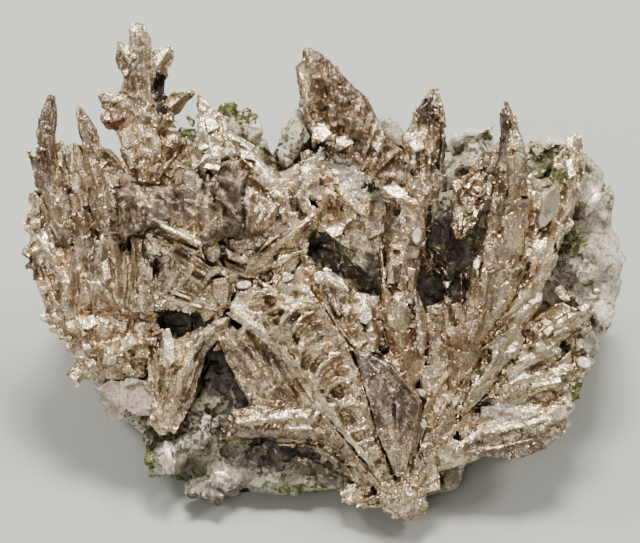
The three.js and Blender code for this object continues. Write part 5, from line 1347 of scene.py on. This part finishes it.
def tall_spike():
    """The long spike to the right of the middle one."""
    grown = Growth("tall_spike")
    grown.bed(
        [(31.2, 7.2), (30, 10.4), (31, 13), (30.2, 16.6), (31.4, 20.4), (34.6, 23), (37.4, 24.4),
         (39.6, 27.4), (41, 28), (40.8, 18), (38.8, 16.2), (36.8, 13.6), (35.2, 10.4), (33.4, 7.4)], 4.2
    )
    grown.bed([(24.4, -8), (33.4, -7), (36, -12), (34, -20), (28, -25), (24.4, -21)], 5)
    grown.blade([(42.4, 38.8, 1.2), (43, 34, 3.4), (43.8, 28, 5), (43, 21, 5), (41, 13, 5)], 3.6, 0.7)
    grown.blade([(41.4, 36.6, 0.9), (41.4, 30, 1.5), (40.8, 24, 1.4)], 2, 0.8)
    grown.blade([(44.4, 36, 0.8), (45.6, 30.6, 1.3), (46, 25.6, 1.1)], 2, 0.8)
    grown.blade([(40, 7, 6), (40.4, 0, 7.4), (39.4, -7, 6), (38, -14, 3.6)], 3.4)
    each(grown.blade,
         ([(30.8, 8, 0.9), (33, 12.2, 1.6), (36, 17, 1)],),
         ([(32.4, 6.8, 0.9), (34.8, 10.8, 1.6), (38, 15.6, 1)],),
         ([(30.2, 13, 0.9), (32.4, 17.4, 1.8), (35.6, 21.4, 1)],),
         ([(31, 18, 0.9), (34, 21.6, 2), (37.4, 25.4, 1.1)],),
         ([(30.6, 22, 0.8), (33.6, 24.6, 1.6), (36.4, 27, 0.9)],),
         ([(35.4, 12, 1), (37.4, 17, 1.8), (39.4, 22, 1.2)],),
         ([(37, 19.4, 0.9), (38.6, 23.4, 1.7), (40, 27, 1)],),
         ([(25.6, 4, 1.2), (28, 0, 2), (29.6, -6, 1.4)],),
         ([(32.6, 1, 2), (32.8, -3.6, 2.6), (32.6, -8, 1.8)],),
         ([(35.8, 3.4, 1), (36, 1, 1.5), (36, -1.6, 0.9)],), thick=2.2, lift=0.9)
    grown.crumbs(35, 20, (4, 4), 8, 0.8, 0.5)
    each(grown.sheet,
         ([(31, 8.4), (33, 11.4), (35.6, 15), (34.2, 15.6), (31.4, 12.4), (30.2, 9.6)], 2, 1.2, (-0.3, 0.1)),
         ([(32.8, 7.8), (35, 11), (36.8, 14.4), (35.6, 14.8), (33.4, 11.4)], 2, 0.8, (-0.2, 0.2)),
         ([(30.4, 16.4), (32, 17.4), (33.6, 20), (32.4, 22), (31, 20.4)], 2, 1.2, (0.3, 0.2)),
         ([(37.4, 16), (39.4, 16.6), (40.4, 20.6), (38.6, 20.4)], 2, 1.2, (0.3, -0.1)))
    each(grown.knob,
         (31.4, 19.4, 1.4), (38.6, 18.4, 1.5), (35.2, 13.2, 1.3), (33.4, 16, 1.2), (32.2, 11.4, 1.2),
         (39.6, 24, 1.3), lift=1.2, squash=(0.8, 1.3, 0.8))
    each(grown.crumbs,
         (29, -3, (4, 5), 10, 0.7), (38.6, 18, (2, 4), 6, 0.6, 0.4), (29, -13, (3, 5), 6, 0.6, 0.2))
    each(grown.stain_and_painted_light,
         (PURPLE, 41.8, 31, (1.2, 7)), (GREY, 41.2, 18, (1.1, 7), 0.9), (BRIGHT, 44.6, 31, (1.8, 6), 0.3),
         (RUST, 35, 20.6, (3.4, 3), 0.4), (GREEN_CALCITE, 33, 20, (2.4, 3), 0.25),
         (WHITE, 31.6, 20, (1.2, 1.4), 0.8), (WHITE, 38.6, 18.6, (1.1, 2), 0.8),
         (WHITE, 39.6, 26, (0.9, 1.6), 0.7), (WHITE, 33.6, 12, (2.4, 4.4), 0.55),
         (WHITE, 35.4, 1.6, (0.9, 1.9)), (WHITE, 31.7, 13.2, (1, 1.8)), (WHITE, 38.2, 18.6, (1.2, 2)),
         (WHITE, 32.2, 20, (0.9, 1.2)), (WHITE, 29, -3.2, (0.9, 0.9)), (PAINTED_GAP_SHADE, 28.6, -1, (4, 5), 0.75),
         (GREY, 32.8, -3.6, (1.7, 5)), (GOLD, 41, -4, (3, 7), 0.35), (WHITE, 43.4, -2, (1, 3), 0.3))
    each(grown.plate,
         (WHITE, [(30.1, 20.6), (31.8, 21.5), (32.6, 19.4), (31.2, 17.5)], 0.8, (0.1, -0.35)),
         (WHITE, [(35.3, 14.2), (37, 14.5), (36.1, 12.2), (34.8, 12.6)], 0.8, (0, -0.4)),
         (WHITE, oval(38.7, 19, 0.9, 1.9), 0.9, (0.1, -0.25)),
         (PAINTED_GLINT, oval(35.8, 1.6, 0.8, 1.4, -10), 0.9, (0, -0.35)),
         (WHITE, [(28.2, -2.4), (30.4, -2.2), (29.2, -4.6)], 0.8, (0, -0.35)),
         (GOLD, [(31.6, 12.6), (33.2, 13.4), (32.8, 9.6), (31.6, 9)], 0.7, (0.1, -0.24)),
         (BROWN, [(42.4, 26), (44.2, 26.4), (44.4, 18), (42.8, 17)], 0.5, (0.15, 0.15)),
         (BROWN, [(42, 13), (44.4, 13.6), (43.8, 6), (41.4, 4)], 0.5, (0.1, 0.15)),
         (RUSTY, [(38.4, 0), (40.2, 0.6), (39.4, -9), (37.6, -8)], 0.5, (-0.12, 0.15)))
    grown.finish(
        "silver_brown", BROWN, (30, -80), ridges=((14, 2.2, 0.5),), faces=((5, 0.34), (1.8, 0.2)),
        painted_crest_highlight=BRIGHT, above=1,
    )


def broad_blade():
    """The wide bright blade that runs up the right side to the stone's top right."""
    grown = Growth("broad_blade")
    grown.bed(
        [(46.4, 8), (45.6, 12), (46.8, 16), (46, 20), (48.6, 22.6), (50.6, 21.2), (53, 22), (54, 26),
         (56.2, 28), (57, 31.4), (59.6, 31.6), (60.8, 28.6), (60, 25), (60.8, 22), (58.8, 19.6), (59.6, 16.6),
         (57.6, 14), (58, 11), (55.6, 8), (52, 3)], 4.6
    )
    each(grown.blade,
         ([(47.6, 12, 1), (48.6, 16.6, 1.8), (50.4, 21.4, 1)],),
         ([(54, 10, 1), (56.4, 15.4, 2), (57.4, 22, 1.1)],),
         ([(56, 20, 1), (58, 25.6, 2.2), (58.4, 30.6, 1.2)],),
         ([(59.4, 17, 1), (60.4, 22, 1.8), (60.4, 27, 1)],), thick=2.6, lift=1)
    grown.blade([(50.2, 11, 1.8), (51.3, 13.6, 3.6), (52.8, 16.6, 3.8), (54.2, 19.6, 1.8)], 3.4, 1.6)
    each(grown.crumbs,
         (47.6, 14, (2, 6), 12), (56.4, 14, (2, 5), 6), (57, 24, (3, 7), 18), size=0.8, lift=0.4)
    each(grown.blade,
         ([(40, -12.4, 1.4), (44, -8.4, 2.2), (47.4, -4.6, 2.2)], 2.4, 1.1),
         ([(47.4, -4.6, 2.2), (50.4, 0.4, 2.2), (53, 5.6, 2), (54.6, 10, 1.4)], 2.4, 1.1),
         ([(38.6, -9.6, 1.2), (42.6, -6, 2), (45.8, -1.4, 2), (48, 4, 1.3)], 2.4, 0.9),
         ([(43, -4.6, 1), (45.6, 0.6, 1.8), (47, 6, 1.7), (48, 12, 1.1)], 2.4, 0.9),
         ([(42.4, 0, 1), (44.4, 5, 1.8), (45.6, 11, 1.1)], 2.4, 0.9),
         ([(36.4, -18.4, 1.2), (40.4, -15.4, 1.9), (45.4, -12.4, 1.1)], 2.4, 0.8),
         ([(44, -11.4, 1), (48.6, -8, 1.8), (52, -3.4, 1.1)], 2.4, 0.8),
         ([(54.6, 9.6, 1.4), (56.6, 14.4, 2), (58, 20, 2), (58.8, 26, 1.8), (58.8, 31, 1)], 2.4, 1.1),
         ([(49.4, 8, 0.9), (51.4, 12, 1.4), (53.6, 15, 0.9)], 2.4, 0.7),
         ([(50, -1.6, 0.9), (53, 2.4, 1.4), (55.4, 6.4, 0.9)], 2.4, 0.7))
    each(grown.crumbs, (46, -2, (6, 8), 18, 0.6), (57, 18, (2, 6), 7, 0.7, 0.4), (40, -15, (4, 3), 7, 0.6))
    each(grown.stain_and_painted_light,
         (RUSTY, 48.2, 9.6, (1.4, 4)), (GREEN_CALCITE, 53.6, 19.6, (1.6, 2), 0.8),
         (MOSS, 54.4, 22, (2.4, 1.6), 0.6), (GOLD, 48.4, 14, (2.4, 6), 0.6), (WHITE, 50, 0, (3.4, 6), 0.4),
         (WHITE, 58.4, 25, (1.8, 6), 0.6), (WHITE, 44, -8, (3.4, 2.4), 0.3),
         (PAINTED_GAP_SHADE, 39.6, -10.8, (1.6, 0.6), 0.9), (GREY, 46, -2, (1.2, 3), 0.6), (BROWN, 45, 4, (2, 6), 0.4),
         (WHITE, 51.6, 4, (2, 5), 0.5), (WHITE, 54, 9, (1.4, 3), 0.6))
    each(grown.plate,
         (PAINTED_GLINT, [(53.8, 19.4), (55.3, 18.4), (55.3, 15.6), (54.4, 13.1), (51.7, 10.4), (50.1, 9.8), (50, 12),
           (50.9, 15.4), (52.3, 18.3)], 1.3, (-0.1, 0)),
         (WHITE, [(53.8, 7), (55.3, 7.6), (54.5, 4.6)], 0.7, (0, -0.35)),
         (WHITE, [(56.7, 31.1), (58.5, 31.2), (59.3, 28.7), (57.9, 27), (56.5, 28.7)], 0.6, (0, -0.35)),
         (WHITE, [(56, 25.6), (57.8, 26.2), (58.6, 22), (56.8, 21)], 0.6, (0.1, -0.35)),
         (GOLD, [(48, 3), (50.2, 4), (49.6, -1), (47.8, -1.6)], 0.6, (0.15, -0.14)),
         (BROWN, [(42.6, -3), (44.4, -2.4), (43.8, -8), (42, -9)], 0.5, (-0.1, 0.15)))
    grown.finish(
        "silver_bright", BRIGHT, (18, -50), ridges=((10, 1.8, 0.7),), low_tarnish_and_shade=SATIN, below=0.3, painted_crest_highlight=WHITE,
        above=1.3,
    )


def right_fronds():
    """The short fronds of the lower right."""
    grown = Growth("right_fronds")
    each(grown.bed,
         ([(22.4, -22), (28, -20.6), (35, -17), (34, -29), (29, -36), (24, -44), (22, -36),
           (23.4, -30)], 5.6),
         ([(45, -11), (56, -7), (62.6, -11), (62.4, -21), (58.6, -30), (40, -31), (37, -25)], 1.4),
         ([(27.3, -42), (29.2, -39.5), (32.3, -38.8), (37.3, -35.7), (42.3, -35.1), (46.1, -34.5),
           (51.1, -33.2), (55.6, -31.4), (57.6, -35.1), (55, -38.8), (52.4, -40.8), (48.6, -42.4),
           (44.8, -43.3), (39.8, -43), (33.6, -42.8), (29.8, -43), (27.4, -44)], 4.6),
         ([(36, -29.6), (46.4, -29.4), (46.6, -35), (38, -36), (34.6, -37.6), (32, -38), (31, -34),
           (34, -32)], 3), ([(46, -12), (50, -11), (50.4, -16), (46, -17)], 3),
         ([(58.4, -12.6), (62.8, -13), (62.4, -18), (59, -17.4)], 2.8),
         ([(39, -22), (45.6, -23), (45, -27.4), (39, -28)], 3.4))
    each(grown.blade,
         ([(47.6, -17.4, 1.2), (52.4, -13.6, 2.2), (57.4, -10.4, 2.2), (62, -7.6, 1.1)], 2.4, 1),
         ([(51, -19, 1), (55.6, -15.4, 1.9), (61, -12, 1)], 2.4, 0.8),
         ([(46, -14, 1), (50.4, -10.4, 1.8), (55, -7.4, 1)], 2.4, 0.7),
         ([(54, -21.6, 1), (58, -18.6, 1.8), (62.4, -16.8, 1)], 2.4, 0.8),
         ([(39, -20, 1.2), (42, -17.4, 2), (44.4, -13.6, 1.1)], 2.4, 0.8),
         ([(33.4, -28, 1.2), (38, -24.4, 2.2), (43, -21.4, 2), (48.4, -20, 1.2)], 2.4, 0.9),
         ([(40, -27.4, 1.2), (46, -24.8, 2.2), (52, -23.4, 2.2), (57.6, -23.8, 1.2)], 2.4, 1.1),
         ([(44, -28.6, 1.2), (50, -27, 2), (56, -27.4, 1.1)], 2.4, 0.8),
         ([(24.6, -44, 1.4), (29, -38.6, 2.4), (33.4, -33, 2.2), (39, -28.4, 1.3)], 2.4, 1),
         ([(22.6, -42, 1.2), (26, -35.6, 2), (29.4, -29.4, 2), (34, -24, 1.1)], 2.4, 0.9),
         ([(21.6, -37, 1), (24.4, -30.6, 1.9), (28.4, -25, 1.9), (32.4, -20.4, 1)], 2.4, 0.9),
         ([(25, -28, 0.9), (28.6, -22, 1.7), (33, -17.4, 1)], 2.4, 0.7),
         ([(27, -45, 1.2), (33, -40.6, 2.2), (38, -37.4, 1.6)], 2.4, 0.8),
         ([(31.6, -40.6, 1.6), (38, -37.4, 2.2), (46, -36, 2.2), (54.6, -33, 1.6)], 2.4),
         ([(34, -42, 1), (41, -40.6, 1.6), (50, -38.6, 1.1)], 2.4, 0.2),
         ([(50.6, -37, 1), (53.4, -34, 2), (56.8, -31.4, 1.2)], 2.4, 0.9),
         ([(46, -34.6, 1), (51, -32.4, 1.8), (56.6, -29.6, 1)], 2.4, 0.7),
         ([(22, -49, 1.4), (26.4, -46, 2), (31.4, -45.4, 1.2)], 2.4, 0.7),
         ([(34, -37, 1), (38, -33.6, 1.7), (43, -31.6, 1)], 2.4, 0.6))
    each(grown.knob,
         (61, -20.8, 1.6), (59.6, -26, 1.6), (59, -28.6, 1.4), (47.4, -25.4, 1.6), (50.6, -24.4, 1.6),
         (54, -24.8, 1.5), (56.6, -26.6, 1.4), (53.8, -31.8, 1.6), (55.4, -34.2, 1.4), (57, -20.6, 1.4),
         (40, -32.2, 1.9), (43.4, -32.4, 1.9), (37.8, -32.6, 1.4), lift=1)
    each(grown.crumbs,
         (30, -33, (5, 9), 32, 0.75, 0.35), (28, -42, (5, 4), 14, 0.8, 0.35),
         (50, -26, (7, 2.6), 18, 0.8, 0.4), (52, -16, (6, 5), 14, 0.7, 0.35),
         (39, -36.4, (4, 1.2), 6, 0.8, 0.4), (54, -33, (3.4, 3), 10, 0.8, 0.4), (38, -21, (4, 4), 8, 0.7))
    each(grown.stain_and_painted_light,
         (WHITE, 51, -24.4, (6, 1.8), 0.5), (WHITE, 54.6, -33, (2.6, 3), 0.5),
         (WHITE, 61, -20.8, (1.7, 1.7), 0.8), (WHITE, 56, -11.6, (5, 1.6), 0.4),
         (PAINTED_GAP_SHADE, 56.5, -17.4, (1.5, 1.4)), (PAINTED_GAP_SHADE, 60, -15, (0.8, 0.7)), (PAINTED_GAP_SHADE, 45, -18.6, (1, 2.8), 0.85),
         (BROWN, 47.6, -28.4, (8, 1.5), 0.8), (PINK_CALCITE, 41.6, -32.4, (4.8, 2.2)),
         (GREY, 46, -39.6, (11, 3.3)), (GREY, 36, -40.6, (5, 2), 0.8), (PAINTED_GAP_SHADE, 34.4, -32, (3, 0.7)),
         (MOSS, 59.6, -27.6, (1.9, 2.6), 0.75), (GOLD, 30, -33, (5.4, 9), 0.55),
         (BROWN, 31, -37, (4, 6), 0.3), (RUST, 28, -30, (2.4, 3), 0.2), (PAINTED_GAP_SHADE, 36, -30.6, (4, 0.7), 0.7))
    each(grown.plate,
         (PAINTED_GLINT, oval(60.8, -20.9, 1.8, 1.4, -15), 1.1, (0, -0.35)),
         (DULL_CALCITE, [(62.6, -13.7), (63.6, -15.9), (63.1, -18), (61.6, -19), (60.4, -17.6),
           (61.1, -14.9)], 1.2, (0, -0.15)), (PAINTED_GLINT, oval(54.9, -32.6, 1.9, 1.7), 1.1),
         (WHITE, oval(42.6, -26.7, 0.8, 0.9), 0.9), (WHITE, oval(39.6, -35.3, 1.6, 0.8, 20), 0.8),
         (WHITE, [(59, -8.3), (61.4, -7), (62.5, -7.9), (60.7, -9.6)], 0.7, (0, -0.35)),
         (WHITE, [(50.9, -13.5), (53.5, -11.8), (53.8, -13.3), (52.1, -15.2)], 0.8, (0, -0.35)),
         (WHITE, [(48.6, -25.7), (52.1, -25.1), (55.5, -24.2), (55.5, -25.6), (50.9, -26.5),
           (48.6, -27.2)], 0.8, (0, -0.35)),
         (GOLD, [(30, -29), (32.6, -26.4), (32.4, -29.6), (30.6, -31.6)], 0.7, (0.1, -0.24)),
         (PAINTED_GLINT, oval(23.4, -28, 1, 0.8), 1.2), (PAINTED_GLINT, oval(23.6, -35, 0.9, 1.2, 20), 1.2))
    grown.finish(
        "silver_bright", BRIGHT, (20, -50), ridges=((10, 1.8, 0.7),), low_tarnish_and_shade=SATIN, below=0.25, painted_crest_highlight=WHITE,
        above=1.2,
    )


# ---- the stone ----------------------------------------------------------------------------------


def matrix_rock():
    """The calcite block behind and under the silver."""
    grown = Growth("matrix_rock")

    def lump(u, v, radius, wide=1, high=1, thick=0.8):
        """A lump of calcite, a little flattened; the last three are shares of its radius."""
        grown.knob(u, v, radius, 1, (wide, high, thick))

    each(lump,
         (-40.4, -35.4, 3), (-27.4, -50.6, 3.2, 1.4, 0.9), (-22.6, -50.8, 2.6, 1.6, 0.8),
         (-25, -52.6, 2, 1.8, 0.7, 0.6), (-38.6, -39.6, 3, 0.9, 1.2), (-35.6, -44.4, 3.4, 0.9, 1.1),
         (-31.6, -47, 3), (-28, -50.4, 3.2), (-21.4, -47.6, 3.2, 1.2), (-16, -47.4, 2.6, 1.2, 0.8),
         (-10.4, -48.4, 2.8, 1.3, 0.8), (-4, -49.4, 2.8, 1.4, 0.8), (-30, -40, 3.4, 1.1), (-24, -41.4, 3),
         (-26, -35.6, 2.8, 1.2, 0.9), (-51, -25, 2.4), (-28.6, -31.4, 2.4, 1, 0.9),
         (-24.4, -31, 2.2, 1.3, 0.7), (-16.4, 31.6, 2.6, 1, 1.2), (-13.8, 28.4, 2), (-5, 32, 2.4),
         (-5, 35.6, 2.2, 0.9, 1.3), (-3.8, 39, 1.6, 0.8, 1.3), (-5.4, 29.2, 2.4), (-4.8, 25.4, 2.4),
         (-7.6, 25.6, 2), (-17.6, 35.4, 2.4, 1.3, 0.8), (-21.6, 37.6, 2.2, 1.4, 0.8), (-15.6, 33, 2.4, 1.2),
         (-19.4, 33, 2.6, 1.2), (16, 34.4, 2.2), (17.6, 30.6, 2.4), (31, 25, 2.6), (35, 25.6, 2.4, 1.1),
         (37.6, 27.6, 2.2, 1.1), (29.6, 22.4, 2.2), (29.4, 26.4, 1.8), (34.8, 32, 2, 1.4, 0.9),
         (53, 30, 2, 1.3, 0.9), (57, 30, 2.2, 1.3, 0.9), (34.6, 29.4, 2.8, 1.1), (38, 31, 2.4),
         (49.4, 27.4, 2.8, 1.2, 0.9), (54, 28.4, 2.8, 1.1), (60.6, 26, 2.8, 0.9, 1.1), (64, 21, 3, 0.9, 1.2))
    each(lump, (66, 13.4, 3), (68, 6, 2.9), (67.4, -2, 2.9), (65.4, -10.4, 2.8), wide=0.8, high=1.3)
    lump(62.8, -17.6, 2.4, 0.9, 1.1)
    each(lump,
         (62, 9, 3, 1, 1.1), (60.8, 0.6, 3.2, 1, 1.2), (58.4, -5.6, 2.8), (63, -8, 2.6), (52, 20.4, 2.8),
         (49.6, 15.6, 2.4), (53.4, 12, 2.4), (61.4, 17, 2.6), (26, -47, 2.4, 1.2), (30, -49.6, 2.2, 1.2, 0.9))
    each(grown.crumbs,
         (-5, 30, (2.4, 6), 12, 1.3), (-17, 32, (3, 3), 6), (34, 28, (4.6, 4), 14, 1.2),
         (52, 26, (7, 4), 16, 1.2), (62, 18, (4.6, 7), 18, 1.2), (64, 0, (4.6, 9), 22, 1.3),
         (58, 4, (4, 5), 10, 1.2), (63, -13, (3, 6), 10, 1.1), (-44, -30, (5, 3.6), 4, 0.9),
         (-36, -43, (4, 6), 14, 1.2), (-27, -48, (6, 4), 14, 1.2), (-12, -47.6, (9, 2.4), 16, 1.2),
         (-25, -40, (6, 4), 14, 1.2), (27, -49, (4, 2.6), 8), (10, 5, (5, 3), 9), (1, 3, (5, 4), 24),
         (8, -2, (5, 3), 20), (35, 9, (4, 5), 6), (17, 32, (2.4, 3), 6), (50, 15, (3, 4), 7),
         (-20, 36.6, (4.4, 2), 10, 0.9), (-31, 33.4, (2.4, 2.6), 7, 0.9), (-24, -24, (4, 6), 10, 1.2),
         (-12, -42, (5, 3), 6, 1.1), lift=0.5)
    each(grown.blade,
         ([(-36.4, -46.4, 1), (-35.2, -43.4, 2.4), (-34.2, -40.4, 1)],),
         ([(-25.4, -46.2, 1.2), (-23.4, -47.8, 3), (-20.6, -49.6, 1.4)],),
         ([(-22.4, -44.6, 1), (-20.4, -46.6, 2.6), (-18.6, -48.4, 1.2)],),
         ([(49.8, 12.4, 1.2), (52, 15.4, 3), (54.4, 18.4, 1.4)],),
         ([(60, 13, 1.2), (62.4, 16, 3), (64.6, 19.4, 1.4)],),
         ([(62, -12.4, 1.2), (63.4, -15, 2.6), (64.2, -17.6, 1.2)],),
         ([(55.6, 24, 1), (58.6, 25.6, 2.4), (61, 27.4, 1.2)],),
         ([(66, 6, 1.2), (67.4, 2, 2.8), (67.6, -2.6, 1.2)],),
         ([(59, -2, 1.2), (61.6, -4.6, 2.8), (63.4, -8, 1.2)],),
         ([(36.4, 30.4, 1), (38.6, 32.4, 2), (40, 33.6, 1.2)],),
         ([(-6.6, 27.6, 1), (-5.4, 30, 2.4), (-4.4, 33, 1.2)],), lift=1.3)
    grown.bed(
        [(-51.5, -27.2), (-48.6, -24.6), (-41, -25.4), (-36.6, -25.7), (-37.2, -29.7), (-38.8, -33.6),
         (-43.4, -33), (-48.6, -30)], 2
    )
    grown.bed([(3, 8.6), (12, 8.8), (14.4, 6), (14.4, -1), (11.4, -1.6), (8, 2), (4.4, 5)], 1.4)
    each(grown.blade,
         ([(5, 6.6, 1), (8.4, 5, 2), (11.6, 2, 1.2)], 2.2, 0.9),
         ([(9.6, 7.8, 1), (11.6, 5.6, 2.2), (13.4, 3.6, 1.2)], 2.4, 1),
         ([(6, 3.6, 0.8), (9, 1.4, 1.6), (11.6, -1, 0.9)], 2, 0.7),
         ([(24.6, 6.4, 0.9), (27.4, 4, 1.8), (30, 1.4, 1)], 2.4, 2),
         ([(25.4, 1.6, 0.9), (27.6, -0.6, 1.6), (30.6, -2.4, 1)], 2.4, 1.6))
    each(grown.crumbs, (10, 4, (3.4, 4), 10, 0.9, 0.6), (27.4, 3, (3.4, 4), 16, 0.9, 0.9))
    each(grown.stain_and_painted_light,
         (DULL_CALCITE, -20, -45, (27, 9), 0.95), (DULL_CALCITE, 58, 3, (5, 9), 0.5),
         (DULL_CALCITE, 35, 27, (4, 4), 0.5), (SHADE, -6, -8, (46, 34), 0.85), (SHADE, 31, 2, (12, 12), 0.95),
         (SHADE, 6, 2, (11, 8), 0.9), (DULL_CALCITE, 9.6, 5, (4.6, 4), 0.85),
         (GREY, 10.6, 5, (2.8, 3.4), 0.5), (GREEN_CALCITE, 7, 5.4, (2.6, 2), 0.4),
         (PURPLE, 1, 3, (5, 4), 0.35), (PURPLE, 8, -2, (5, 3), 0.35), (BROWN, 2, 5.4, (5, 4), 0.2),
         (WHITE, 10, 4, (4, 4), 0.15), (RUST, 27.4, 3, (3.6, 4), 0.35), (BROWN, 27.6, 2, (3, 4), 0.45),
         (WHITE, 27.4, 1, (4, 5), 0.1), (GREEN_CALCITE, 36.4, 8, (2.4, 5), 0.35),
         (PAINTED_GAP_SHADE, -25.8, -21.4, (3, 4.6)), (SHADE, -12, -42, (7, 3), 0.8), (SHADE, -34, -10, (6, 3)),
         (SHADE, -25, -22, (4.6, 9), 0.9), (GREEN_CALCITE, -26.4, -31, (5, 2.2), 0.8),
         (SHADE, -28, -53, (7, 1.6), 0.8), (WHITE_CALCITE, -35.2, -43.4, (1.9, 3.4)),
         (WHITE_CALCITE, -22.4, -48.4, (3, 3), 0.85), (WHITE_CALCITE, 52, 15.6, (2.6, 3.4), 0.9),
         (WHITE_CALCITE, 62.6, 16.4, (2.8, 3.6), 0.9), (WHITE_CALCITE, 63.4, -15, (1.6, 3), 0.9),
         (WHITE_CALCITE, 67, 1, (2, 5), 0.5), (WHITE_CALCITE, 39, 33, (1.6, 1.3), 0.9),
         (WHITE_CALCITE, -8, 30, (2.6, 3.4), 0.35), (WHITE_CALCITE, 61, -4, (3, 4), 0.45),
         (PINK_CALCITE, -44.4, -29, (8, 4.8)), (PINK_CALCITE, -30, -38, (4, 3), 0.4),
         (PINK_CALCITE, 57, -3, (3, 4), 0.3), (GREEN_CALCITE, -8, -49, (9, 3), 0.5),
         (GREEN_CALCITE, -30, -44, (4, 4), 0.4), (GREEN_CALCITE, -20, -42, (5, 5), 0.4),
         (GREEN_CALCITE, 58.6, 7, (4, 4), 0.6), (GREEN_CALCITE, 29, -48.4, (5, 4), 0.6),
         (GREEN_CALCITE, 52, 25, (6, 4), 0.5), (GREEN_CALCITE, -14, 32, (3, 4), 0.4),
         (MOSS, -39.6, -44, (1.6, 4), 0.8), (MOSS, -34, -48.6, (5, 1.5), 0.8),
         (MOSS, 54, 25.4, (4, 3.4), 0.65), (MOSS, 58.6, 6.6, (3, 3), 0.45),
         (MOSS, 38.6, 31.6, (1.5, 1.3), 0.8), (MOSS, -20.6, 38, (5, 1.6), 0.85),
         (MOSS, -30.4, 33.4, (3, 3), 0.7), (MOSS, -4, -50.6, (6, 1.4), 0.5), (MOSS, 37, 9, (3, 6), 0.3),
         (MOSS, 48, 28, (4, 2), 0.4), (MOSS, 66.6, 20, (2, 4), 0.25), (MOSS, -17, 35.6, (3, 1.5), 0.8))
    each(grown.plate,
         (PAINTED_GLINT, [(64.4, 18.7), (65.2, 17.1), (63, 13.9), (61.3, 12.8), (61, 14.3), (62.6, 17.5)], 1),
         (GOLD, [(53.7, -4), (56.1, -3.1), (58.6, -6.4), (57.3, -7.1), (55.5, -6.5)], 0.9, (0, -0.24)),
         (WHITE, oval(64.1, -4.5, 1, 0.6), 0.7),
         (PAINTED_GLINT, [(-35.8, -41), (-34.6, -40.6), (-34, -44), (-34.8, -46.4), (-36, -45.4)], 0.9),
         (PAINTED_GLINT, [(-24.6, -46.4), (-22, -46.2), (-20.4, -47.8), (-21.4, -49.4), (-24, -48.6)], 0.9))
    grown.finish(
        "calcite", CALCITE, (0, 0), ridges=(), faces=((5, 0.35), (2, 0.25)), grain=0.55, keep=0.35, soft=4,
        smooth=42,
    )


PIECES = [
    outer_spike, inner_spike, star_fern, left_crust, serrated_leaf, upper_leaf, left_fern, flow_lobe,
    tongue_blade, block_ridge, centre_frond, dark_leaf, lower_band, root_knot, centre_plate, top_blade,
    middle_spike, tall_spike, broad_blade, right_fronds, matrix_rock,
]
for grow in PIECES:
    grow()
for master in (NEEDLE, BLOCK):
    bpy.data.objects.remove(master, do_unlink=True)

# ---- table, lights and camera -------------------------------------------------------------------

TABLE_LEVEL = -0.0002  # a hair under the foot
TABLE_SIZE = 6
VIEW_DISTANCE = 0.908
LENS, SENSOR = 220.8, 36
LAMPS_AIM = Vector((0, 0, 0.04))

bpy.ops.mesh.primitive_plane_add(size=TABLE_SIZE, location=(0, 0, TABLE_LEVEL))
table = bpy.context.object
table.name = "table"
cloth = bpy.data.materials.new("pale_table")
cloth.use_nodes = True
cloth_shader = cloth.node_tree.nodes["Principled BSDF"]
feed(cloth.node_tree, cloth_shader, {"Base Color": (0.43, 0.445, 0.425, 1), "Roughness": 0.7})
table.data.materials.append(cloth)

camera = bpy.data.objects.new("camera", bpy.data.cameras.new("camera"))
bpy.context.collection.objects.link(camera)
camera.data.lens = LENS
camera.data.sensor_width = SENSOR
camera.location = Vector(FACE_MIDDLE) * 0.001 + FACE_OUT * VIEW_DISTANCE
camera.rotation_euler = (math.radians(FACE_LEAN), 0, 0)
bpy.context.scene.camera = camera


def softbox(name, place, size, power, colour):
    lamp = bpy.data.lights.new(name, "AREA")
    lamp.shape = "RECTANGLE"
    lamp.size, lamp.size_y = size
    lamp.energy = power
    lamp.color = colour
    made = bpy.data.objects.new(name, lamp)
    bpy.context.collection.objects.link(made)
    made.location = place
    made.rotation_euler = (LAMPS_AIM - Vector(place)).to_track_quat("-Z", "Y").to_euler()


softbox("overhead", (0.05, 0.35, 1.0), (0.35, 0.25), 16.5, (1, 0.98, 0.91))
softbox("left_lamp", (-0.7, 0.35, 0.8), (0.25, 0.25), 7, (1, 0.97, 0.92))
softbox("right_lamp", (0.75, 0.2, 0.85), (0.25, 0.25), 6, (1, 0.97, 0.92))
softbox("front_fill", (-0.5, -1.0, 0.9), (0.8, 0.8), 6, (1, 0.96, 0.89))

world = bpy.data.worlds.new("room")
world.use_nodes = True
feed(world.node_tree, world.node_tree.nodes["Background"], {"Color": (0.62, 0.60, 0.54, 1), "Strength": 0.5})
bpy.context.scene.world = world
